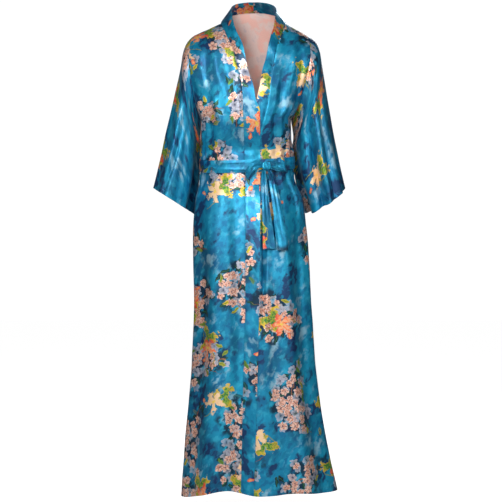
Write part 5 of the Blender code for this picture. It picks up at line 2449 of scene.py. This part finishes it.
@dataclass
class Studio:
    """A pale studio: a white floor, a white surround, soft boxes and the camera."""

    lens: float = 113.9
    camera_place: Place = (-0.007, -4.5, -0.640)
    floor_height: float = -1.355
    floor_half: float = 12.0
    floor_glow: float = 0.97
    surround: float = 0.035
    shown: float = 1.05
    boxes: tuple[SoftBox, ...] = (
        SoftBox("front", (-0.65, -2.25, 0.60), (0.0, 0.0, -0.40), 0.5, 1.5, 38),
        SoftBox("fill", (0.2, -3.6, 0.25), (0.0, 0.0, -0.15), 0.5, 0.5, 20),
        SoftBox("left", (-2.3, -1.2, 0.0), (0.0, 0.0, -0.55), 0.3, 1.8, 6),
        SoftBox("right", (1.7, -2.0, 0.1), (0.0, 0.0, -0.50), 0.3, 1.7, 15),
        SoftBox("top", (0.0, -0.6, 1.6), (0.0, 0.0, -0.3), 0.9, 0.5, 4),
        SoftBox("back", (0.4, 2.6, 0.7), (0.0, 0.0, -0.5), 1.1, 0.9, 26),
    )

    def make_floor(self) -> Object:
        """The floor, a little below the hem.

        Returns:
            The new object.
        """
        bpy.ops.object.select_all(action="DESELECT")
        bpy.ops.mesh.primitive_plane_add(size=2 * self.floor_half, location=(0, 0, self.floor_height))
        floor = bpy.context.object
        floor.name = "studio_floor"
        material, g, shader = new_finish("white_floor")
        speck = g.noise(g.add("TexCoord").outputs["Object"], 3.0, 3.0)
        seen = g.add("LightPath").outputs["Is Camera Ray"]
        finish = {
            "Base Color": g.blend(speck, (0.60, 0.60, 0.60, 1), (0.64, 0.64, 0.64, 1)),
            "Roughness": 0.9,
            "Emission Color": WHITE,
            "Emission Strength": g.times(seen, self.floor_glow),
        }
        g.feed(shader, finish)
        floor.data.materials.append(material)
        return floor

    def make_surround(self) -> None:
        """A white surround that lights the robe less than it shows."""
        world = bpy.data.worlds.new("studio")
        world.use_nodes = True
        g = Graph(world.node_tree)
        seen = g.add("LightPath").outputs["Is Camera Ray"]
        strength = g.linear(seen, self.shown - self.surround, self.surround)
        g.feed(world.node_tree.nodes["Background"], {"Color": WHITE, "Strength": strength})
        bpy.context.scene.world = world

    def make_box(self, box: SoftBox) -> None:
        """Stands one soft box in its place.

        Args:
            box: where it stands, what it points at and how strong it is.
        """
        data = bpy.data.lights.new(box.name, "AREA")
        data.shape = "RECTANGLE"
        data.size, data.size_y, data.energy = box.width, box.height, box.watts
        light = new_object(box.name, data)
        light.location = box.place
        light.visible_camera = False
        way = Vector(box.target) - Vector(box.place)
        light.rotation_euler = way.to_track_quat("-Z", "Y").to_euler()

    def make_camera(self) -> None:
        """The camera, level and square to the robe's front."""
        data = bpy.data.cameras.new("camera")
        data.lens = self.lens
        camera = new_object("camera", data)
        camera.location = self.camera_place
        camera.rotation_euler = (math.pi / 2, 0, 0)
        bpy.context.scene.camera = camera

    def make(self) -> None:
        """Sets up the whole studio."""
        self.make_floor()
        self.make_surround()
        for box in self.boxes:
            self.make_box(box)
        self.make_camera()
        bpy.context.scene.view_settings.view_transform = "Standard"


def main() -> None:
    """Dresses the robe and sets the studio round it."""
    logging.basicConfig(level=logging.INFO, format="%(name)s: %(message)s")
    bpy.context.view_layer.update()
    print_group = FloralPrint().group()
    satin, band_satin, belt_satin = (
        finish.make(print_group)
        for finish in (
            PrintedSatin("printed_satin"),
            PrintedSatin("neckband_satin", roughness=0.34),
            PrintedSatin("belt_satin", roughness=0.38),
        )
    )
    stitches = Stitching("robe_stitches", Thread().make())
    robe = Robe()
    robe.shape()
    robe.make(satin, band_satin, SatinReverse().make(), stitches)
    TieBelt(robe, belt_satin, stitches).make()
    stitches.make()
    Studio().make()
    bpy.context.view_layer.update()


if __name__ == "__main__":
    main()
